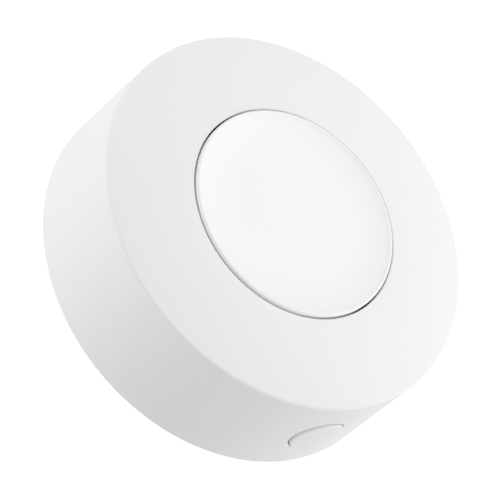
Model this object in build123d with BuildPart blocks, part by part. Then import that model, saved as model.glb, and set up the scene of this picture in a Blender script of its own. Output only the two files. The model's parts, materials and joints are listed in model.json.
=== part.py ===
from build123d import *
from math import sqrt
import os

os.makedirs("parts", exist_ok=True)

# Round battery powered smart button, built up from the pieces that it comes apart into.
# Millimetres. +Z points out of the front face and the side key faces -Y.
# The origin is the centre of the rear face.

# Housing
housing_diameter = 45.0
housing_height = 15.5  # rear face to the lip of the button opening
side_wall = 1.6
front_wall = 1.6
shoulder_drop = 1.64  # lip of the opening down to the top corner of the side wall
shoulder_radius = 51.0  # the front face is one shallow convex arc
shoulder_edge_round = 0.4
rear_edge_round = 0.2
opening_edge_round = 0.12
collar_wall = 1.3  # guide collar round the button opening
collar_depth = 3.25  # from the lip of the opening
boss_diameter = 4.4
boss_pilot_depth = 2.7
mark_diameter = 0.8  # open and locked dots in the rear edge
mark_depth = 0.25

# Main button
button_diameter = 24.8
button_gap = 0.2
button_travel = 0.4
dish_flat_diameter = 14.0
dish_depth = 0.32  # lip of the opening down to the floor of the dish
dish_rise = 0.42  # floor of the dish up to where its edge turns steeper
dish_edge_width = 0.9  # the steeper edge, in to there from the side of the cap
rim_rise = 0.7  # floor of the dish up to the corner of the rim, which stands over the lip
rim_round = 0.25
cap_thickness = 1.3
skirt_wall = 1.0
skirt_depth = 3.1  # from the lip of the opening
cap_boss_diameter = 4.4
rib_width = 0.8
rib_depth = 0.8
hook_count = 3
first_hook_angle = 30.0
hook_sweep = 16.0
hook_reach = 0.9
hook_height = 0.8
hook_lead = 0.35  # slope on the nose that lets the cap snap in
hook_gap = 0.1
arm_slot_sweep = 3.0
arm_slot_depth = 1.0
key_angle = 90.0
key_sweep = 6.0
key_reach = 0.5
key_height = 1.6
key_play = 0.2

# Side key
side_key_diameter = 6.0
side_key_height = 6.8  # centre, above the rear face
side_key_gap = 0.15
side_key_rise = 0.2  # its face stands this far out of the side wall
side_key_travel = 0.35
side_key_edge_round = 0.2
side_hole_edge_round = 0.12
flange_side_lip = 1.0  # past the key, to the left and the right
flange_end_lip = 0.7  # past the key, up and down
flange_thickness = 0.8
flange_corner_round = 0.8
flange_gap = 0.1
flange_guide_gap = 0.3
stem_diameter = 3.0
stem_length = 0.5

# Coin cell
cell_diameter = 24.5
cell_height = 5.0
cell_lift = 0.5  # over the inner face of the rear cover
can_wall = 0.25
can_edge_round = 0.4
can_crimp_drop = 0.35
can_crimp_reach = 0.6
gasket_wall = 0.8
gasket_lip_wall = 0.2
gasket_lip_height = 0.3
cell_cap_lift = 0.2
cell_cap_edge_round = 0.3
cathode_height = 2.3
separator_thickness = 0.15
filling_gap = 0.2

# Inner frame
ring_wall = 1.6
ring_gap = 0.2
well_wall = 1.1
well_gap = 0.3
well_lip = 0.5
frame_floor = 0.9
cell_floor_gap = 0.2
board_standoff = 0.9
post_diameter = 4.2
finger_notch_width = 8.0

# Rear cover and its bayonet
cover_thickness = 1.4
cover_gap = 0.2
cover_skirt_wall = 1.0
lug_count = 3
first_lug_angle = 90.0
lug_sweep = 20.0
lug_reach = 1.0
lug_thickness = 0.8
lug_gap = 0.2
ledge_thickness = 0.8
ledge_gap = 0.25
cover_turn = 30.0
entry_play = 1.5  # degrees on each side of a lug
stop_play = 0.5
stop_sweep = 3.0
cell_ring_diameter = 18.0
cell_ring_wall = 1.0
cell_ring_gap = 0.25
coin_slot_length = 15.0
coin_slot_width = 2.0
coin_slot_depth = 0.8
coin_slot_edge = 0.2
pointer_length = 2.0
pointer_width = 2.0
pointer_inset = 1.2

# Screws
screw_count = 3
first_screw_angle = 90.0
screw_shank_diameter = 1.6
screw_length = 5.0
screw_tip_length = 0.5
screw_head_diameter = 3.8
screw_head_height = 1.2
screw_head_round = 0.5
screw_head_room = 0.3
screw_ring_gap = 0.3
thread_gap = 0.05
screw_hole_gap = 0.35
recess_length = 2.2
recess_width = 0.5
recess_depth = 0.7

# Circuit board
board_thickness = 1.0
board_edge_gap = 1.3
board_flat_gap = 0.65

# Tactile switches
main_switch_width = 6.0
main_switch_base_height = 1.8
main_plunger_diameter = 3.4
main_plunger_rest = 0.15  # still proud of its cover when pressed
main_pocket_diameter = 4.6
side_switch_width = 6.0
side_switch_depth = 3.0
side_plunger_diameter = 2.4
side_plunger_rest = 0.5
side_pocket_diameter = 3.6
switch_cover_wall = 0.25
switch_pocket_depth = 1.0
switch_play = 0.05
switch_rest_gap = 0.1  # between a plunger and the button that pushes it
plunger_hole_gap = 0.1
plunger_flange_thickness = 0.35
plunger_flange_gap = 0.3
plunger_round = 0.2
dome_thickness = 0.1
dome_rise = 0.45
dome_gap = 0.2
tab_width = 2.0
tab_length = 0.9
leg_width = 0.7
leg_thickness = 0.15
leg_height = 0.5
foot_length = 1.2
main_leg_spacing = 4.0
side_leg_spacing = 1.8

# Contact springs
spring_thickness = 0.25
spring_width = 3.0
spring_bend = 0.5
spring_slot_gap = 0.4
negative_pad_half = 0.7
negative_knee_half = 3.4
negative_half_length = 5.0
negative_opening_gap = 0.6
positive_touch_gap = 0.02
positive_leg_reach = 2.0
positive_foot_length = 2.4
positive_touch_length = 0.8
positive_bow_height = 1.5
positive_tip_reach = 0.9
positive_tip_height = 1.2
positive_slot_room = 0.65

# Parts on the board: length, width and height
radio_chip_size = (5.0, 5.0, 0.85)
crystal_size = (3.2, 2.5, 0.7)
antenna_size = (5.2, 1.6, 1.0)
led_size = (1.6, 0.8, 0.6)
bulk_capacitor_size = (3.5, 2.8, 1.9)
capacitor_size = (1.6, 0.8, 0.8)
resistor_size = (1.6, 0.8, 0.45)
inductor_size = (2.0, 1.2, 0.9)
terminal_share = 0.2  # of a chip part's length, at each end
terminal_lip = 0.05
chip_edge = 0.1
pin_mark_diameter = 0.5
pin_mark_depth = 0.08
lens_diameter = 0.6
lens_height = 0.12
quarter_turn = 90.0

# Places on the board's front, as shares of its radius
radio_chip_shares = (-0.36, 0.16)
crystal_shares = (-0.38, -0.10)
antenna_shares = (0.83, 0.15)
led_shares = (0.0, 0.45)
bulk_capacitor_shares = (0.38, 0.0)
inductor_shares = (0.40, 0.24)
capacitor_shares = [
    (-0.20, 0.37), (-0.27, 0.37), (-0.34, 0.37), (-0.41, 0.37),
    (-0.30, -0.26), (-0.37, -0.26), (-0.44, -0.26), (0.72, 0.34),
]
resistor_shares = [(0.08, 0.37), (0.30, -0.24), (0.37, -0.24), (0.44, -0.24), (0.66, -0.02)]

# Worked out from the sizes above
housing_radius = housing_diameter / 2
inner_radius = housing_radius - side_wall
button_radius = button_diameter / 2
opening_radius = button_radius + button_gap
collar_radius = opening_radius + collar_wall
wall_corner_height = housing_height - shoulder_drop
collar_base = housing_height - collar_depth

cell_radius = cell_diameter / 2
cell_base = cover_thickness + cell_lift
cell_top = cell_base + cell_height
frame_floor_base = cell_top + cell_floor_gap
frame_floor_top = frame_floor_base + frame_floor
board_base = frame_floor_top + board_standoff
board_top = board_base + board_thickness
board_radius = inner_radius - board_edge_gap

ring_outer_radius = inner_radius - ring_gap
ring_inner_radius = ring_outer_radius - ring_wall
ring_base = cover_thickness + cover_gap
well_inner_radius = cell_radius + well_gap
well_outer_radius = well_inner_radius + well_wall
well_base = cell_base + well_lip

cover_radius = inner_radius - cover_gap
lug_outer_radius = ring_inner_radius - lug_gap
cover_skirt_outer = lug_outer_radius - lug_reach
cover_skirt_inner = cover_skirt_outer - cover_skirt_wall
ledge_top = ring_base + ledge_thickness
lug_base = ledge_top + lug_gap
lug_top = lug_base + lug_thickness

screw_pitch_radius = ring_inner_radius - screw_ring_gap - screw_head_room - screw_head_diameter / 2
screw_hole_diameter = screw_shank_diameter + 2 * screw_hole_gap
pilot_diameter = screw_shank_diameter + 2 * thread_gap

main_plunger_height = button_travel + main_plunger_rest
side_plunger_height = side_key_travel + side_plunger_rest

# Distances out from the axis along -Y for what lies behind the side key
flange_width = side_key_diameter + 2 * flange_side_lip
flange_height = side_key_diameter + 2 * flange_end_lip
flange_outer_reach = sqrt(inner_radius**2 - (flange_width / 2) ** 2) - flange_gap
flange_inner_reach = flange_outer_reach - flange_thickness
stem_end_reach = flange_inner_reach - stem_length
side_plunger_reach = stem_end_reach - switch_rest_gap
side_switch_reach = side_plunger_reach - side_plunger_height - switch_cover_wall
side_switch_back_reach = side_switch_reach - side_switch_depth
side_switch_height = 2 * (board_base - side_key_height)
board_flat_reach = flange_inner_reach - side_key_travel - board_flat_gap
guide_half_width = flange_width / 2 + flange_guide_gap
guide_base = side_key_height - flange_height / 2 - flange_guide_gap

main_switch_top = board_top + main_switch_base_height
main_plunger_top = main_switch_top + switch_cover_wall + main_plunger_height
cap_underside = housing_height - dish_depth - cap_thickness
dish_floor = housing_height - dish_depth
skirt_base = housing_height - skirt_depth
hook_top = collar_base - hook_gap
hook_base = hook_top - hook_height

# Planes that look along the side key's axis and out of the board's two faces
side_plane = Plane(origin=(0, 0, side_key_height), x_dir=(1, 0, 0), z_dir=(0, -1, 0))
main_switch_face = Plane.XY.offset(main_switch_top)
side_switch_face = side_plane.offset(side_switch_reach)

screw_places = PolarLocations(screw_pitch_radius, screw_count, start_angle=first_screw_angle)
hook_angles = [first_hook_angle + 360 / hook_count * turn for turn in range(hook_count)]
lug_angles = [first_lug_angle + 360 / lug_count * turn for turn in range(lug_count)]


def shoulder_height(radius):
    # Height of the housing's front face at a distance from the axis
    run = housing_radius - opening_radius
    chord = sqrt(run**2 + shoulder_drop**2)
    sink = sqrt(shoulder_radius**2 - (chord / 2) ** 2)
    centre_radius = (housing_radius + opening_radius) / 2 - sink * shoulder_drop / chord
    centre_height = (housing_height + wall_corner_height) / 2 - sink * run / chord
    return centre_height + sqrt(shoulder_radius**2 - (radius - centre_radius) ** 2)


def corner(profile, across, up):
    # The corner of a profile that lies nearest to a place in it
    return profile.vertices().sort_by_distance((across, up))[0]


def ring_sector(inner, outer, middle_angle, sweep):
    # A stretch of a flat ring
    with BuildSketch() as sector:
        with BuildLine():
            outer_arc = CenterArc((0, 0), outer, middle_angle - sweep / 2, sweep)
            inner_arc = CenterArc((0, 0), inner, middle_angle - sweep / 2, sweep)
            Line(outer_arc @ 0, inner_arc @ 0)
            Line(outer_arc @ 1, inner_arc @ 1)
        make_face()
    return sector.sketch


def turning_plane(face):
    # Half profiles drawn here have their y along the normal of the face
    return Plane(face.origin, x_dir=face.x_dir, z_dir=-face.y_dir)


# Front housing: shoulder, side wall, guide collar and screw bosses in one moulding
with BuildPart() as front_housing:
    with BuildSketch(Plane.XZ) as housing_profile:
        with BuildLine():
            wall_corner = (housing_radius, wall_corner_height)
            Polyline((inner_radius, 0), (housing_radius, 0), wall_corner)
            RadiusArc(wall_corner, (opening_radius, housing_height), -shoulder_radius)
            collar_top = shoulder_height(collar_radius) - front_wall
            Polyline(
                (opening_radius, housing_height),
                (opening_radius, collar_base),
                (collar_radius, collar_base),
                (collar_radius, collar_top),
            )
            inner_corner = shoulder_height(inner_radius) - front_wall
            RadiusArc((collar_radius, collar_top), (inner_radius, inner_corner), shoulder_radius)
            Line((inner_radius, inner_corner), (inner_radius, 0))
        make_face()
        fillet(corner(housing_profile, *wall_corner), radius=shoulder_edge_round)
        fillet(corner(housing_profile, housing_radius, 0), radius=rear_edge_round)
        fillet(corner(housing_profile, opening_radius, housing_height), radius=opening_edge_round)
        fillet(corner(housing_profile, inner_radius, inner_corner), radius=shoulder_edge_round)
    revolve(axis=Axis.Z)

    # Screw bosses run up into the front wall, clear of the cap and its key
    with BuildSketch(Plane.XY.offset(board_top)):
        with screw_places:
            Circle(boss_diameter / 2)
        Circle(opening_radius + key_reach, mode=Mode.SUBTRACT)
    boss_reach = screw_pitch_radius + boss_diameter / 2
    extrude(amount=shoulder_height(boss_reach) - front_wall / 2 - board_top)
    with BuildSketch(Plane.XY.offset(board_top)):
        with screw_places:
            Circle(pilot_diameter / 2)
    extrude(amount=boss_pilot_depth, mode=Mode.SUBTRACT)

    # Groove in the collar for the cap's key
    with BuildSketch(Plane.XY.offset(collar_base)):
        groove_sweep = key_sweep * (1 + key_play / key_reach)
        add(ring_sector(button_radius, opening_radius + key_reach, key_angle, groove_sweep))
    extrude(amount=key_height + key_play, mode=Mode.SUBTRACT)

    # Round hole for the side key
    with BuildSketch(side_plane.offset(inner_radius - side_wall)):
        Circle(side_key_diameter / 2 + side_key_gap)
    extrude(amount=3 * side_wall, mode=Mode.SUBTRACT)
    side_hole_edges = front_housing.edges().filter_by(GeomType.BSPLINE).group_by(Axis.Y)[0]
    fillet(side_hole_edges, radius=side_hole_edge_round)

    # Locked and open dots that the cover's pointer turns between
    with BuildSketch(Plane.XY):
        for mark_angle in (0, -cover_turn):
            with PolarLocations((housing_radius + inner_radius) / 2, 1, start_angle=mark_angle):
                Circle(mark_diameter / 2)
    extrude(amount=mark_depth, mode=Mode.SUBTRACT)
front_housing.part.label = "front_housing"
export_step(front_housing.part, "parts/front_housing.step")


# Main button: dished cap with a skirt, three snap hooks, ribs and the boss over its switch
with BuildPart() as main_button:
    with BuildSketch(Plane.XZ) as cap_profile:
        rim_corner = dish_floor + rim_rise
        with BuildLine():
            Line((0, dish_floor), (dish_flat_diameter / 2, dish_floor))
            dish_edge = (button_radius - dish_edge_width, dish_floor + dish_rise)
            dish_arc = TangentArc((dish_flat_diameter / 2, dish_floor), dish_edge, tangent=(1, 0))
            TangentArc(dish_edge, (button_radius, rim_corner), tangent=dish_arc % 1)
            Polyline(
                (button_radius, rim_corner),
                (button_radius, skirt_base),
                (button_radius - skirt_wall, skirt_base),
                (button_radius - skirt_wall, cap_underside),
                (0, cap_underside),
                (0, dish_floor),
            )
        make_face()
        fillet(corner(cap_profile, button_radius, rim_corner), radius=rim_round)
    revolve(axis=Axis.Z)

    # Boss and crossed ribs under the cap
    with BuildSketch(Plane.XY.offset(main_plunger_top + switch_rest_gap)):
        Circle(cap_boss_diameter / 2)
    extrude(amount=cap_underside - main_plunger_top - switch_rest_gap)
    with BuildSketch(Plane.XY.offset(cap_underside)):
        Rectangle(2 * button_radius - skirt_wall, rib_width)
        Rectangle(rib_width, 2 * button_radius - skirt_wall)
    extrude(amount=-rib_depth)

    # Slots in the skirt leave an arm that can bend at each hook
    with BuildSketch(Plane.XY.offset(skirt_base)):
        for hook_angle in hook_angles:
            for side in (-1, 1):
                slot_angle = hook_angle + side * (hook_sweep + arm_slot_sweep) / 2
                inner_edge = button_radius - 2 * skirt_wall
                add(ring_sector(inner_edge, button_radius + skirt_wall, slot_angle, arm_slot_sweep))
    extrude(amount=arm_slot_depth, mode=Mode.SUBTRACT)

    # Hook arms with their noses under the collar
    for hook_angle in hook_angles:
        with BuildSketch(Plane.XZ.rotated((0, 0, hook_angle - hook_sweep / 2))):
            with BuildLine():
                Polyline(
                    (button_radius - skirt_wall, skirt_base),
                    (button_radius, skirt_base),
                    (button_radius, hook_top),
                    (button_radius + hook_reach, hook_top),
                    (button_radius + hook_reach, hook_base + hook_lead),
                    (button_radius + hook_reach - hook_lead, hook_base),
                    (button_radius - skirt_wall, hook_base),
                    close=True,
                )
            make_face()
        revolve(axis=Axis.Z, revolution_arc=hook_sweep)

    # Key that stops the cap from turning
    with BuildSketch(Plane.XY.offset(skirt_base)):
        add(ring_sector(button_radius - skirt_wall, button_radius + key_reach, key_angle, key_sweep))
    extrude(amount=collar_base + key_height - skirt_base)
main_button.part.label = "main_button"
export_step(main_button.part, "parts/main_button.step")


# Side key: round, its face curved like the side wall, with a flange behind the wall
with BuildPart() as side_button:
    with BuildSketch(side_plane.offset(flange_inner_reach)):
        Circle(side_key_diameter / 2)
    extrude(amount=housing_radius)
    Cylinder(housing_radius + side_key_rise, 2 * housing_height, mode=Mode.INTERSECT)
    key_face = side_button.faces().filter_by(GeomType.CYLINDER).sort_by(Axis.Y)[0]
    fillet(key_face.edges(), radius=side_key_edge_round)
    with BuildSketch(side_plane.offset(flange_inner_reach)):
        RectangleRounded(flange_width, flange_height, flange_corner_round)
    extrude(amount=flange_thickness)
    with BuildSketch(side_plane.offset(flange_inner_reach)):
        Circle(stem_diameter / 2)
    extrude(amount=-stem_length)
side_button.part.label = "side_button"
export_step(side_button.part, "parts/side_button.step")


# Inner frame: outer ring with the bayonet ledges, cell well, floor and screw posts
with BuildPart() as inner_frame:
    with BuildSketch(Plane.XY.offset(ring_base)):
        Circle(ring_outer_radius)
        Circle(ring_inner_radius, mode=Mode.SUBTRACT)
    extrude(amount=frame_floor_top - ring_base)
    with BuildSketch(Plane.XY.offset(frame_floor_base)):
        Circle(ring_outer_radius - ring_wall / 2)
    extrude(amount=frame_floor)
    with BuildSketch(Plane.XY.offset(well_base)):
        Circle(well_outer_radius)
        Circle(well_inner_radius, mode=Mode.SUBTRACT)
    extrude(amount=frame_floor_top - well_base)

    # Ledges that the cover's lugs turn behind, with a gap to let each lug in
    ledge_inner_radius = cover_skirt_outer + ledge_gap
    entry_sweep = lug_sweep + 2 * entry_play
    ledge_sweep = 360 / lug_count - entry_sweep
    ledge_root = ring_inner_radius + ring_wall / 2
    with BuildSketch(Plane.XY.offset(ring_base)):
        for lug_angle in lug_angles:
            ledge_angle = lug_angle - cover_turn + (entry_sweep + ledge_sweep) / 2
            add(ring_sector(ledge_inner_radius, ledge_root, ledge_angle, ledge_sweep))
    extrude(amount=ledge_thickness)

    # Stops at the two ends of the cover's turn
    stop_offset = (lug_sweep + stop_sweep) / 2 + stop_play
    with BuildSketch(Plane.XY.offset(ring_base)):
        for lug_angle in lug_angles:
            for stop_angle in (lug_angle + stop_offset, lug_angle - cover_turn - stop_offset):
                add(ring_sector(ledge_inner_radius, ledge_root, stop_angle, stop_sweep))
    extrude(amount=lug_top + lug_gap - ring_base)

    # Posts that the board rests on
    with BuildSketch(Plane.XY.offset(frame_floor_top)):
        with screw_places:
            Circle(post_diameter / 2)
    extrude(amount=board_standoff)
    with BuildSketch(Plane.XY.offset(frame_floor_base)):
        with screw_places:
            Circle(screw_hole_diameter / 2)
    extrude(amount=board_base - frame_floor_base, mode=Mode.SUBTRACT)
    with BuildSketch(Plane.XY.offset(ring_base)):
        with screw_places:
            Circle(screw_head_diameter / 2 + screw_head_room)
    extrude(amount=frame_floor_base - ring_base, mode=Mode.SUBTRACT)

    # Opening for the negative contact and slot for the positive one
    with BuildSketch(Plane.XY.offset(frame_floor_base)):
        Circle(negative_half_length + negative_opening_gap)
    extrude(amount=frame_floor, mode=Mode.SUBTRACT)
    slot_outer = cell_radius + positive_leg_reach + positive_slot_room
    with BuildSketch(Plane.XY.offset(well_base)):
        with Locations((-(slot_outer + cell_radius) / 2, 0)):
            Rectangle(slot_outer - cell_radius, spring_width + 2 * spring_slot_gap)
    extrude(amount=frame_floor_top - well_base, mode=Mode.SUBTRACT)

    # Notch in the well for a finger nail under the cell
    with BuildSketch(Plane.XY.offset(well_base)):
        with Locations(((well_inner_radius + well_outer_radius) / 2, 0)):
            Rectangle(2 * well_wall, finger_notch_width)
    extrude(amount=cell_top - well_base, mode=Mode.SUBTRACT)

    # Guide for the side key's flange in the ring, and a window for the switch behind it
    with BuildSketch(Plane.XY.offset(guide_base)):
        with Locations((0, -(ring_inner_radius - ring_wall + housing_radius) / 2)):
            Rectangle(2 * guide_half_width, housing_radius - ring_inner_radius + ring_wall)
        window_inner = side_switch_back_reach - flange_guide_gap
        with Locations((0, -(window_inner + housing_radius) / 2)):
            Rectangle(side_switch_width + 4 * flange_guide_gap, housing_radius - window_inner)
    extrude(amount=board_base - guide_base, mode=Mode.SUBTRACT)
inner_frame.part.label = "inner_frame"
export_step(inner_frame.part, "parts/inner_frame.step")


# Rear cover: disc with a bayonet skirt, and a coin slot in its outer face
with BuildPart() as rear_cover:
    with BuildSketch(Plane.XY):
        Circle(cover_radius)
    extrude(amount=cover_thickness)
    chamfer(rear_cover.edges().group_by(Axis.Z)[0], length=rear_edge_round)
    with BuildSketch(Plane.XY.offset(cover_thickness)):
        Circle(cover_skirt_outer)
        Circle(cover_skirt_inner, mode=Mode.SUBTRACT)
    extrude(amount=lug_top - cover_thickness)
    with BuildSketch(Plane.XY.offset(cover_thickness)):
        Circle(cell_ring_diameter / 2)
        Circle(cell_ring_diameter / 2 - cell_ring_wall, mode=Mode.SUBTRACT)
    extrude(amount=cell_lift - cell_ring_gap)
    lug_root = cover_skirt_outer - cover_skirt_wall / 2
    with BuildSketch(Plane.XY.offset(lug_base)):
        for lug_angle in lug_angles:
            add(ring_sector(lug_root, lug_outer_radius, lug_angle, lug_sweep))
    extrude(amount=lug_thickness)

    # Coin slot with broken edges
    with BuildSketch(Plane.XY):
        SlotOverall(coin_slot_length, coin_slot_width)
    extrude(amount=coin_slot_depth, mode=Mode.SUBTRACT)
    slot_rim = rear_cover.faces().sort_by(Axis.Z)[0].inner_wires()[0]
    chamfer(slot_rim.edges(), length=coin_slot_edge)

    # Pointer beside the dots on the housing
    pointer_tip = cover_radius - pointer_inset
    with BuildSketch(Plane.XY):
        with BuildLine():
            Polyline(
                (pointer_tip, 0),
                (pointer_tip - pointer_length, pointer_width / 2),
                (pointer_tip - pointer_length, -pointer_width / 2),
                close=True,
            )
        make_face()
    extrude(amount=mark_depth, mode=Mode.SUBTRACT)
rear_cover.part.label = "rear_cover"
export_step(rear_cover.part, "parts/rear_cover.step")


# Circuit board: disc with a flat behind the side key and three screw holes
with BuildPart() as circuit_board:
    with BuildSketch(Plane.XY.offset(board_base)):
        Circle(board_radius)
        with screw_places:
            Circle(screw_hole_diameter / 2, mode=Mode.SUBTRACT)
        with Locations((0, -board_flat_reach - board_radius / 2)):
            Rectangle(2 * guide_half_width, board_radius, mode=Mode.SUBTRACT)
    extrude(amount=board_thickness)
circuit_board.part.label = "circuit_board"
export_step(circuit_board.part, "parts/circuit_board.step")


# Both tactile switches have the same five pieces, each drawn on the switch's front face
def switch_base(face, width, height, depth, pocket_diameter):
    with BuildPart() as base:
        with BuildSketch(face):
            Rectangle(width, height)
        extrude(amount=-depth)
        with BuildSketch(face):
            Circle(pocket_diameter / 2)
        extrude(amount=-switch_pocket_depth, mode=Mode.SUBTRACT)
    return base


def switch_cover(face, width, height, plunger_diameter):
    with BuildPart() as cover:
        with BuildSketch(face):
            Rectangle(width, height)
            Circle(plunger_diameter / 2 + plunger_hole_gap, mode=Mode.SUBTRACT)
        extrude(amount=switch_cover_wall)
        with BuildSketch(face.offset(switch_cover_wall)):
            with Locations(*[(side * (width + switch_cover_wall) / 2, 0) for side in (-1, 1)]):
                Rectangle(switch_cover_wall, tab_width)
        extrude(amount=-(switch_cover_wall + tab_length))
    return cover


def switch_dome(face, pocket_diameter):
    foot_radius = pocket_diameter / 2 - dome_gap
    dome_radius = (foot_radius**2 + dome_rise**2) / (2 * dome_rise)
    with BuildPart() as dome:
        with BuildSketch(turning_plane(face.offset(-switch_pocket_depth))):
            with BuildLine():
                RadiusArc((foot_radius, dome_thickness), (0, dome_rise + dome_thickness), -dome_radius)
                Line((0, dome_rise + dome_thickness), (0, dome_rise))
                RadiusArc((0, dome_rise), (foot_radius, 0), dome_radius)
                Line((foot_radius, 0), (foot_radius, dome_thickness))
            make_face()
        revolve(axis=Axis(face.origin, face.z_dir))
    return dome


def switch_plunger(face, pocket_diameter, plunger_diameter, plunger_height):
    with BuildPart() as plunger:
        with BuildSketch(face.offset(-switch_play)):
            Circle(pocket_diameter / 2 - plunger_flange_gap)
        extrude(amount=-plunger_flange_thickness)
        with BuildSketch(face.offset(-switch_play)):
            Circle(plunger_diameter / 2)
        extrude(amount=switch_play + switch_cover_wall + plunger_height)
        tip = plunger.faces().sort_by(Axis(face.origin, face.z_dir))[-1]
        fillet(tip.edges(), radius=plunger_round)
    return plunger


def switch_terminals(board_face, width, spacing):
    # L shaped legs beside the base, their feet flat on the board
    with BuildPart() as terminals:
        for side in (-1, 1):
            for row in (-1, 1):
                with BuildSketch(board_face):
                    with Locations((side * (width + foot_length) / 2, row * spacing / 2)):
                        Rectangle(foot_length, leg_width)
                extrude(amount=leg_thickness)
                with BuildSketch(board_face):
                    with Locations((side * (width + leg_thickness) / 2, row * spacing / 2)):
                        Rectangle(leg_thickness, leg_width)
                extrude(amount=leg_height)
    return terminals


# Main switch, on the board's front under the middle of the cap
main_switch_base = switch_base(
    main_switch_face, main_switch_width, main_switch_width, main_switch_base_height, main_pocket_diameter
)
main_switch_base.part.label = "main_switch_base"
export_step(main_switch_base.part, "parts/main_switch_base.step")

main_switch_cover = switch_cover(
    main_switch_face, main_switch_width, main_switch_width, main_plunger_diameter
)
main_switch_cover.part.label = "main_switch_cover"
export_step(main_switch_cover.part, "parts/main_switch_cover.step")

main_switch_dome = switch_dome(main_switch_face, main_pocket_diameter)
main_switch_dome.part.label = "main_switch_dome"
export_step(main_switch_dome.part, "parts/main_switch_dome.step")

main_switch_plunger = switch_plunger(
    main_switch_face, main_pocket_diameter, main_plunger_diameter, main_plunger_height
)
main_switch_plunger.part.label = "main_switch_plunger"
export_step(main_switch_plunger.part, "parts/main_switch_plunger.step")

main_switch_terminals = switch_terminals(
    Plane.XY.offset(board_top), main_switch_width, main_leg_spacing
)
main_switch_terminals.part.label = "main_switch_terminals"
export_step(main_switch_terminals.part, "parts/main_switch_terminals.step")


# Side switch, on the board's rear face with its plunger in line with the side key
side_switch_base = switch_base(
    side_switch_face, side_switch_width, side_switch_height, side_switch_depth, side_pocket_diameter
)
side_switch_base.part.label = "side_switch_base"
export_step(side_switch_base.part, "parts/side_switch_base.step")

side_switch_cover = switch_cover(
    side_switch_face, side_switch_width, side_switch_height, side_plunger_diameter
)
side_switch_cover.part.label = "side_switch_cover"
export_step(side_switch_cover.part, "parts/side_switch_cover.step")

side_switch_dome = switch_dome(side_switch_face, side_pocket_diameter)
side_switch_dome.part.label = "side_switch_dome"
export_step(side_switch_dome.part, "parts/side_switch_dome.step")

side_switch_plunger = switch_plunger(
    side_switch_face, side_pocket_diameter, side_plunger_diameter, side_plunger_height
)
side_switch_plunger.part.label = "side_switch_plunger"
export_step(side_switch_plunger.part, "parts/side_switch_plunger.step")

side_switch_middle = (side_switch_reach + side_switch_back_reach) / 2
side_switch_terminals = switch_terminals(
    Plane(origin=(0, -side_switch_middle, board_base), x_dir=(1, 0, 0), z_dir=(0, 0, -1)),
    side_switch_width,
    side_leg_spacing,
)
side_switch_terminals.part.label = "side_switch_terminals"
export_step(side_switch_terminals.part, "parts/side_switch_terminals.step")


# Coin cell. Its can faces the rear cover and its negative cap faces the board
can_inner_radius = cell_radius - can_wall
can_top = cell_top - can_crimp_drop
crimp_inner_radius = can_inner_radius - can_crimp_reach
with BuildPart() as cell_can:
    with BuildSketch(Plane.XZ) as can_profile:
        with BuildLine():
            Polyline(
                (0, cell_base),
                (cell_radius, cell_base),
                (cell_radius, can_top),
                (crimp_inner_radius, can_top),
                (crimp_inner_radius, can_top - can_wall),
                (can_inner_radius, can_top - can_wall),
                (can_inner_radius, cell_base + can_wall),
                (0, cell_base + can_wall),
                close=True,
            )
        make_face()
        fillet(corner(can_profile, cell_radius, cell_base), radius=can_edge_round)
        fillet(corner(can_profile, cell_radius, can_top), radius=can_wall)
    revolve(axis=Axis.Z)
cell_can.part.label = "cell_can"
export_step(cell_can.part, "parts/cell_can.step")

gasket_inner_radius = can_inner_radius - gasket_wall
with BuildPart() as cell_gasket:
    with BuildSketch(Plane.XZ):
        with BuildLine():
            Polyline(
                (gasket_inner_radius, cell_base + can_wall),
                (can_inner_radius, cell_base + can_wall),
                (can_inner_radius, can_top - can_wall),
                (gasket_inner_radius + gasket_lip_wall, can_top - can_wall),
                (gasket_inner_radius + gasket_lip_wall, can_top - can_wall + gasket_lip_height),
                (gasket_inner_radius, can_top - can_wall + gasket_lip_height),
                close=True,
            )
        make_face()
    revolve(axis=Axis.Z)
cell_gasket.part.label = "cell_gasket"
export_step(cell_gasket.part, "parts/cell_gasket.step")

cell_cap_base = cell_base + can_wall + cell_cap_lift
cell_cap_inner_radius = gasket_inner_radius - can_wall
with BuildPart() as cell_cap:
    with BuildSketch(Plane.XZ) as cell_cap_profile:
        with BuildLine():
            Polyline(
                (0, cell_top),
                (gasket_inner_radius, cell_top),
                (gasket_inner_radius, cell_cap_base),
                (cell_cap_inner_radius, cell_cap_base),
                (cell_cap_inner_radius, cell_top - can_wall),
                (0, cell_top - can_wall),
                close=True,
            )
        make_face()
        fillet(corner(cell_cap_profile, gasket_inner_radius, cell_top), radius=cell_cap_edge_round)
    revolve(axis=Axis.Z)
cell_cap.part.label = "cell_cap"
export_step(cell_cap.part, "parts/cell_cap.step")

filling_radius = cell_cap_inner_radius - filling_gap
with BuildPart() as cell_cathode:
    with BuildSketch(Plane.XY.offset(cell_base + can_wall)):
        Circle(filling_radius)
    extrude(amount=cathode_height)
cell_cathode.part.label = "cell_cathode"
export_step(cell_cathode.part, "parts/cell_cathode.step")

separator_base = cell_base + can_wall + cathode_height
with BuildPart() as cell_separator:
    with BuildSketch(Plane.XY.offset(separator_base)):
        Circle(filling_radius)
    extrude(amount=separator_thickness)
cell_separator.part.label = "cell_separator"
export_step(cell_separator.part, "parts/cell_separator.step")

anode_base = separator_base + separator_thickness
with BuildPart() as cell_anode:
    with BuildSketch(Plane.XY.offset(anode_base)):
        Circle(filling_radius)
    extrude(amount=cell_top - can_wall - anode_base)
cell_anode.part.label = "cell_anode"
export_step(cell_anode.part, "parts/cell_anode.step")


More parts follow.
